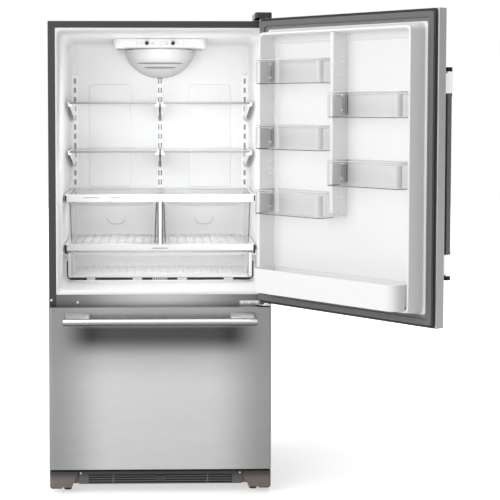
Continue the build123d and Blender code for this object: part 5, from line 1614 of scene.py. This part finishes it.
# ------------------------------------------------------------------ drawers of the compartment


@dataclass
class DrawerTrim(Group):
    """Ribs and embossings of the crispers and the pantry drawer, and the dark strips and grey marks
    of painted shade round them.
    """

    front: float = 200.0
    back: float = 580.0
    inner: float = 11.0
    outer: float = 353.0
    floor: float = 920.5
    top: float = 1080.0
    wall: float = 2.5
    draft: float = 6.0
    rib_pitch: float = 33.0
    trim_front: float = 194.4
    rest: Span = (776.6, 784.2)  # heights of the pantry drawer's rests

    def build(self) -> None:
        """Builds every piece."""
        self.crisper("left", -1, Body.CRISPER_LEFT)
        self.crisper("right", 1, Body.CRISPER_RIGHT)
        self.covers()
        self.pantry()

    def floor_ribs(self, first: float, pitch: float, count: int, height: float) -> Form:
        """Rounded ribs that run from front to back on a drawer's floor.

        Args:
            first: the first rib's x.
            pitch: from one to the next.
            count: how many.
            height: their middle's height.

        Returns:
            The form.
        """
        depths = (self.front + 14, (self.front + self.back) / 2, self.back - 14)
        paths = ([(first + k * pitch, y, height) for y in depths] for k in range(count))
        return joined(tube(path, (2.6, 1.5), UP, 6) for path in paths)

    def crisper(self, label: str, side: int, body: Body) -> None:
        """Builds the floor's ribs, the back's embossing drawn in grey as painted shade, and dark
        strips of painted shade at the front corners.

        Args:
            label: left or right.
            side: -1 or +1.
            body: the crisper's body.
        """
        count = int((self.outer - self.inner - 40) // self.rib_pitch) + 1
        first = side * (self.inner + 26)
        ribs = self.floor_ribs(first, side * self.rib_pitch, count, self.floor + 0.4)
        self.model.add(f"crisper_ribs_{label}", ribs, "frost", body)
        middle = side * (self.inner + self.outer) / 2
        y = self.back - self.wall - 4.0
        half = ((37, 28), (36, 20), (32, 11), (25, 4.5), (15, 1.2))
        arch = [(-u, v) for u, v in half] + [(0, 0), *half[::-1]]
        # the embossing is drawn grey: painted shade
        emboss = tube([(middle + u, y, 962 + v) for u, v in arch], (1.3, 1.2))
        self.model.add(f"crisper_emboss_{label}", emboss, "mid_grey", body)
        # painted shade where the side walls are seen edge on
        strips = []
        for x, width, lean in (
            (self.inner + 3.2, 1.9, self.draft),
            (self.outer - 3.6, 1.3, -self.draft),
        ):
            path = [
                (side * (x + lean * 0.98), self.front + 7.4, self.floor + 2),
                (side * (x + lean * 0.5), self.front + 4.4, (self.floor + self.top) / 2),
                (side * x, self.front + 1.6, self.top - 3),
            ]
            strips.append(tube(path, (width, 1.0)))
        self.model.add(f"crisper_corner_{label}", joined(strips), "crisper_edge_shade", body)

    def covers(self) -> None:
        """Builds the strips of painted shadow by the centre support and at the covers' ends, the
        pin, and the slits, whose grey is painted shade.
        """
        add = self.model.add
        y, z = (203, 572), (921, 1070)
        # painted shadow in the gaps beside the centre support
        gap_shadows = [slab((side * 6.0, side * 10.2), y, z, 1.2) for _, side in SIDES]
        add("crisper_gap_shadows", joined(gap_shadows), "painted_shadow")
        # painted shadow in the gaps at the covers' ends
        ends = [
            slab((side * 362.5, side * (362.5 + wide)), (193.2, 195.2), z, 3.0)
            for _, side in SIDES
            for z, wide in (((1084, 1108), 6.0), ((881, 915), 7.5))
        ]
        add("cover_end_shadows", joined(ends), "painted_shadow")
        add("centre_pin", slab((-3.4, 3.4), (192.8, 197.0), (1071, 1080), 3.2, 1.0), "white")
        y = (self.trim_front, self.trim_front + 1.0)
        # painted shade inside the finger slot and the cover's slits
        slot = slab((-31, 31), (y[0] - 0.1, y[1]), (899.5, 903.5), 2.0, 0.3)
        add("finger_slot", slot, "mid_grey")
        slits = [
            slab(x, y, (1097.6, 1100.0), 1.1, 0.2)
            for x in ((-297, -234), (-193, -151), (154, 196), (239, 301))
        ]
        add("cover_slits", joined(slits), "mid_grey")

    def pantry(self) -> None:
        """Builds the pantry drawer's foot rail and ribs, the black strips of painted shadow in the
        gap round it, and the rests behind it.
        """
        line = [(x, 201.0, 799.5) for x in (-338, 0, 338)]
        rail = [
            slab((-357.0, -345.0), (201.0, 206.0), (792.0, 884.0), 3.0, 1.0),
            slab((345.0, 357.0), (201.0, 206.0), (792.0, 884.0), 3.0, 1.0),
            slab((-341, 341), (201.5, 206.5), (786.4, 797.0), 4.0, 1.5),
            tube(line, (0.9, 0.9), UP),
        ]
        self.model.add("pantry_foot_rail", joined(rail), "white", Body.PANTRY)
        y, half, low, high, corner = 212.0, 361.5, 780.0, 850.0, 14.0
        path = [(-half, y, high)]
        for centre, start in ((corner - half, 180), (half - corner, 270)):
            path += [(centre + corner * c, y, low + corner * (1 + s)) for c, s in arc(8, start)]
        path.append((half, y, high))
        # painted shadow in the gap round the drawer and below it
        painted_shadow = [tube(path, (2.6, 2.2)), slab((-350, 350), (214.2, 216.2), (775.0, 785.0), 2.0)]
        self.model.add("pantry_gap_shadow", joined(painted_shadow), "painted_shadow")
        depth = (207.6, y)
        wide = ((-285, -253), (-107, -71), (67, 104), (248, 284))
        rests = [slab(x, depth, self.rest, 1.4) for x in wide]
        count, pitch, first, width = 7, 8.5, -29, 4.2
        for x in (first + k * pitch for k in range(count)):
            rests.append(slab((x, x + width), depth, self.rest, 0.8, 0.3))
        self.model.add("pantry_rests", joined(rests), "white")
        ribs = self.floor_ribs(-330, self.rib_pitch, 21, 789.0)
        self.model.add("pantry_ribs", ribs, "frost", Body.PANTRY)


# ------------------------------------------------------------------ small parts


@dataclass
class SmallParts(Group):
    """Screws, dial marks, the bar's feet, and the parts behind the grille, with a black panel of
    painted shade.
    """

    bar_feet: tuple[tuple[float, ...], ...] = (  # depth, half width, low and high
        (-101, 42.5, 655.5, 668.0),
        (-98, 43.5, 654.5, 673.0),
        (-80, 44.0, 653.0, 679.5),
        (-64, 44.0, 652.0, 686.0),
        (-58.6, 45.0, 651.0, 688.0),
        (-58.1, 45.0, 651.0, 688.0),
    )
    foot_at: float = 305.0
    knob_at: float = 51.5
    knob_height: float = 1700.0
    dial_front: float = 327.4
    first_mark: float = 12.5  # from the knob's middle
    mark_pitch: float = 5.2
    upper_back: float = 705.8  # the rear panel's face
    lower_back: float = 702.6  # the machine cover's face

    def build(self) -> None:
        """Builds the small parts."""
        self.screws()
        self.posts()
        self.base()
        self.dial()

    def screws(self) -> None:
        """Builds the screws of the rail, the centre hinge, the base and the back."""
        still = (0, 0, 0)
        front = [
            Row(1, (-407, 0.1, 727.5), still, 4.6, 1.6, sides=24),
            Row(1, (-309, 0.1, 719.0), still, 4.6, 1.6, sides=24),
            Row(3, (308, -4.4, 716.0), (27, 0, 0), 4.4, 2.2),
            Row(2, (-299, -21.9, 76.0), (598, 0, 0), 4.0, 1.6),
        ]
        self.model.add("front_screws", self.model.rows.form(front), "screw")
        upwards, across = (0, 0, 175), (190, 0, 0)
        back = [
            Row(count, start, step, 4.0, 2.0, (-90, 0, 0))
            for count, start, step in (
                (9, (-396, self.upper_back, 320), upwards),
                (9, (396, self.upper_back, 320), upwards),
                (5, (-380, self.upper_back, 1752), across),
                (5, (-380, self.lower_back, 286), across),
                (5, (-380, self.lower_back, 50), across),
            )
        ]
        self.model.add("back_screws", self.model.rows.form(back), "zinc")

    def posts(self) -> None:
        """Builds the sloped feet that carry the drawer's bar."""
        feet = []
        for _, side in SIDES:
            x = side * self.foot_at
            rings = [box((x - h, x + h), (low, high), 2.5, y) for y, h, low, high in self.bar_feet]
            feet.append(skin(rings))
        self.model.add("drawer_bar_feet", joined(feet), "post", Body.DRAWER)

    def base(self) -> None:
        """Builds a black panel of painted shade behind the grille's slats, its two side wings and
        its catch.
        """
        # painted shade behind the slats
        shade_panel = slab((-300, 300), (-17.0, -15.0), (35.5, 81))
        self.model.add("grille_shade_panel", shade_panel, "painted_shadow")
        wings = [slab((side * 303, side * 327), (-15, -11), (36.0, 83.5), 2) for _, side in SIDES]
        self.model.add("grille_wings", joined(wings), "taupe")
        self.model.add("grille_catch", slab((-20, 20), (-22.6, -20.0), (46, 66), 2.0), "dark")

    def dial(self) -> None:
        """Builds the dial marks round both knobs."""
        rows = []
        for x in (-self.knob_at, self.knob_at):
            for _, side in SIDES:
                start = (x + side * self.first_mark, self.dial_front, self.knob_height)
                rows.append(Row(4, start, (side * self.mark_pitch, 0, 0), 0.9, 0.4, sides=8))
        self.model.add("dial_marks", self.model.rows.form(rows), "mid_grey")


# ------------------------------------------------------------------ studio


@dataclass(frozen=True)
class Lamp:
    """One rectangular soft lamp: where it hangs, what it faces, its size and its watts."""

    name: str
    place: Point
    target: Point
    size: Span
    power: float


LAMPS = (
    Lamp("front_soft", (-2.6, -4.0, 2.6), (0.2, 0, 0.9), (3.4, 2.4), 120),
    Lamp("left_soft", (-3.6, -1.6, 1.9), (0, 0, 1.0), (2.2, 2.6), 60),
    Lamp("right_soft", (3.8, -2.4, 2.2), (0.4, 0, 1.0), (2.0, 2.6), 3),
    Lamp("top_soft", (0.2, -0.6, 4.2), (0.1, 0, 0.8), (3.2, 3.2), 60),
    Lamp("inside_soft", (0, 0.02, 1.40), (0, 0.6, 1.25), (0.6, 0.5), 3.1),
    Lamp("inside_side", (0.34, 0.12, 1.18), (-0.38, 0.42, 1.0), (0.16, 0.6), 0.8),
    Lamp("crisper_fill", (0, 0.33, 1.065), (0, 0.40, 0.9), (0.62, 0.22), 1.8),
    Lamp("pantry_fill", (0, 0.33, 0.884), (0, 0.40, 0.7), (0.62, 0.22), 1.6),
    Lamp("back_soft", (0.6, 3.8, 2.4), (0, 0.4, 1.0), (3.0, 2.4), 45),
)


@dataclass
class Studio:
    """Pale floor, white surround, soft lamps and the photograph's camera. Sizes in metres."""

    eye: Point = (0.0, -5.096, 1.466)
    lens: float = 98.475
    sensor: float = 36.0
    shift: Span = (0.1196, -0.138)
    turn_right: float = 1.263
    look_down: float = 3.28
    floor_half: float = 14.0
    floor_height: float = -0.0005
    floor_glow: float = 0.52
    dimmer: float = 0.66
    left_glow: float = 0.62
    right_glow: float = 0.05

    def build(self) -> None:
        """Sets up the floor, the surround, the lamps and the camera."""
        self.floor()
        self.sky()
        for lamp in LAMPS:
            self.light(lamp)
        bpy.context.scene.view_settings.view_transform = "Standard"
        self.camera()

    def floor(self) -> None:
        """Makes a wide pale floor that keeps the object's shadow."""
        material = bpy.data.materials.new("pale floor")
        material.use_nodes = True
        graph = Graph(material.node_tree)
        rays = graph.node("ShaderNodeLightPath").outputs
        seen = Term(graph, rays["Is Camera Ray"]) + Term(graph, rays["Is Glossy Ray"])
        colour = graph.blend(graph.noise(graph.place(), 3.0), grey(0.88), grey(0.92))
        matt = graph.node("ShaderNodeBsdfDiffuse", None, {"Color": colour})
        across, away, _ = graph.axes(graph.place())
        far = away.size().between(0.9, 3.0) * 0.5 + across.size().between(1.6, 3.4) * 0.4
        shine = graph.blend(far + self.floor_glow, grey(0.0), grey(1.0))
        glow = graph.node("ShaderNodeEmission", None, {"Color": shine, "Strength": 1.0})
        nothing = graph.node("ShaderNodeEmission", None, {"Color": grey(0.0), "Strength": 0.0})
        choice = {0: seen, 1: nothing.outputs[0], 2: glow.outputs[0]}
        shown = graph.node("ShaderNodeMixShader", None, choice)
        both = graph.node("ShaderNodeAddShader", None, {0: matt.outputs[0], 1: shown.outputs[0]})
        graph.node("ShaderNodeOutputMaterial", None, {"Surface": both.outputs[0]})
        mesh = bpy.data.meshes.new("studio_floor")
        half = self.floor_half
        corners = ((-half, -half), (half, -half), (half, half), (-half, half))
        mesh.from_pydata([(x, y, self.floor_height) for x, y in corners], [], [[0, 1, 2, 3]])
        mesh.materials.append(material)
        made = bpy.data.objects.new("studio_floor", mesh)
        bpy.context.scene.collection.objects.link(made)

    def sky(self) -> None:
        """Makes a white surround, dimmer as a light than as a background."""
        world = bpy.data.worlds.new("surround")
        bpy.context.scene.world = world
        world.use_nodes = True
        graph = Graph(world.node_tree)
        rays = graph.node("ShaderNodeLightPath").outputs
        camera, through, glossy = (
            Term(graph, rays[f"Is {kind} Ray"]) for kind in ("Camera", "Transmission", "Glossy")
        )
        across, _, _ = graph.axes(graph.node("ShaderNodeTexCoord").outputs["Generated"])
        lit = across.between(-0.2, 0.8, self.left_glow, self.right_glow)
        ends = {"Value": camera.most(through).most(glossy), "To Min": lit, "To Max": 1.0}
        strength = graph.node("ShaderNodeMapRange", None, ends).outputs["Result"]
        shade = graph.node("ShaderNodeBackground", None, {"Color": grey(1.0), "Strength": strength})
        graph.node("ShaderNodeOutputWorld", None, {"Surface": shade.outputs[0]})

    def light(self, lamp: Lamp) -> None:
        """Hangs one lamp that the camera doesn't see.

        Args:
            lamp: the lamp.
        """
        data = bpy.data.lights.new(lamp.name, "AREA")
        data.shape = "RECTANGLE"
        data.size, data.size_y = lamp.size
        data.energy = lamp.power * self.dimmer
        made = bpy.data.objects.new(lamp.name, data)
        made.location = lamp.place
        aim = Vector(lamp.target) - Vector(lamp.place)
        made.rotation_euler = aim.to_track_quat("-Z", "Y").to_euler()
        made.visible_camera = False
        bpy.context.scene.collection.objects.link(made)

    def camera(self) -> None:
        """Sets the camera where the photograph was taken from."""
        data = bpy.data.cameras.new("camera")
        data.sensor_width, data.lens = self.sensor, self.lens
        data.shift_x, data.shift_y = self.shift
        data.clip_start, data.clip_end = 0.1, 60.0
        made = bpy.data.objects.new("camera", data)
        made.location = self.eye
        tilt, turn = math.radians(90 - self.look_down), math.radians(-self.turn_right)
        made.rotation_euler = (tilt, 0, turn)
        bpy.context.scene.collection.objects.link(made)
        bpy.context.scene.camera = made


def main() -> None:
    """Builds the scene round the frame."""
    logging.basicConfig(level=logging.INFO, format="%(message)s")
    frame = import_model()
    Studio().build()
    model = Model(frame["nodes"])
    groups: Sequence[Group] = (
        Compartment(model),
        ControlFace(model),
        LightBowl(model),
        DoorInside(model),
        Gasket(model, "door_gasket", Body.DOOR, 733.0, 1764.5, DOOR_SWING),
        Gasket(model, "drawer_gasket", Body.DRAWER, 108.5, 698.0, STILL),
        BinTrim(model),
        DrawerTrim(model),
        SmallParts(model),
    )
    for group in groups:
        group.build()


if __name__ == "__main__":
    main()
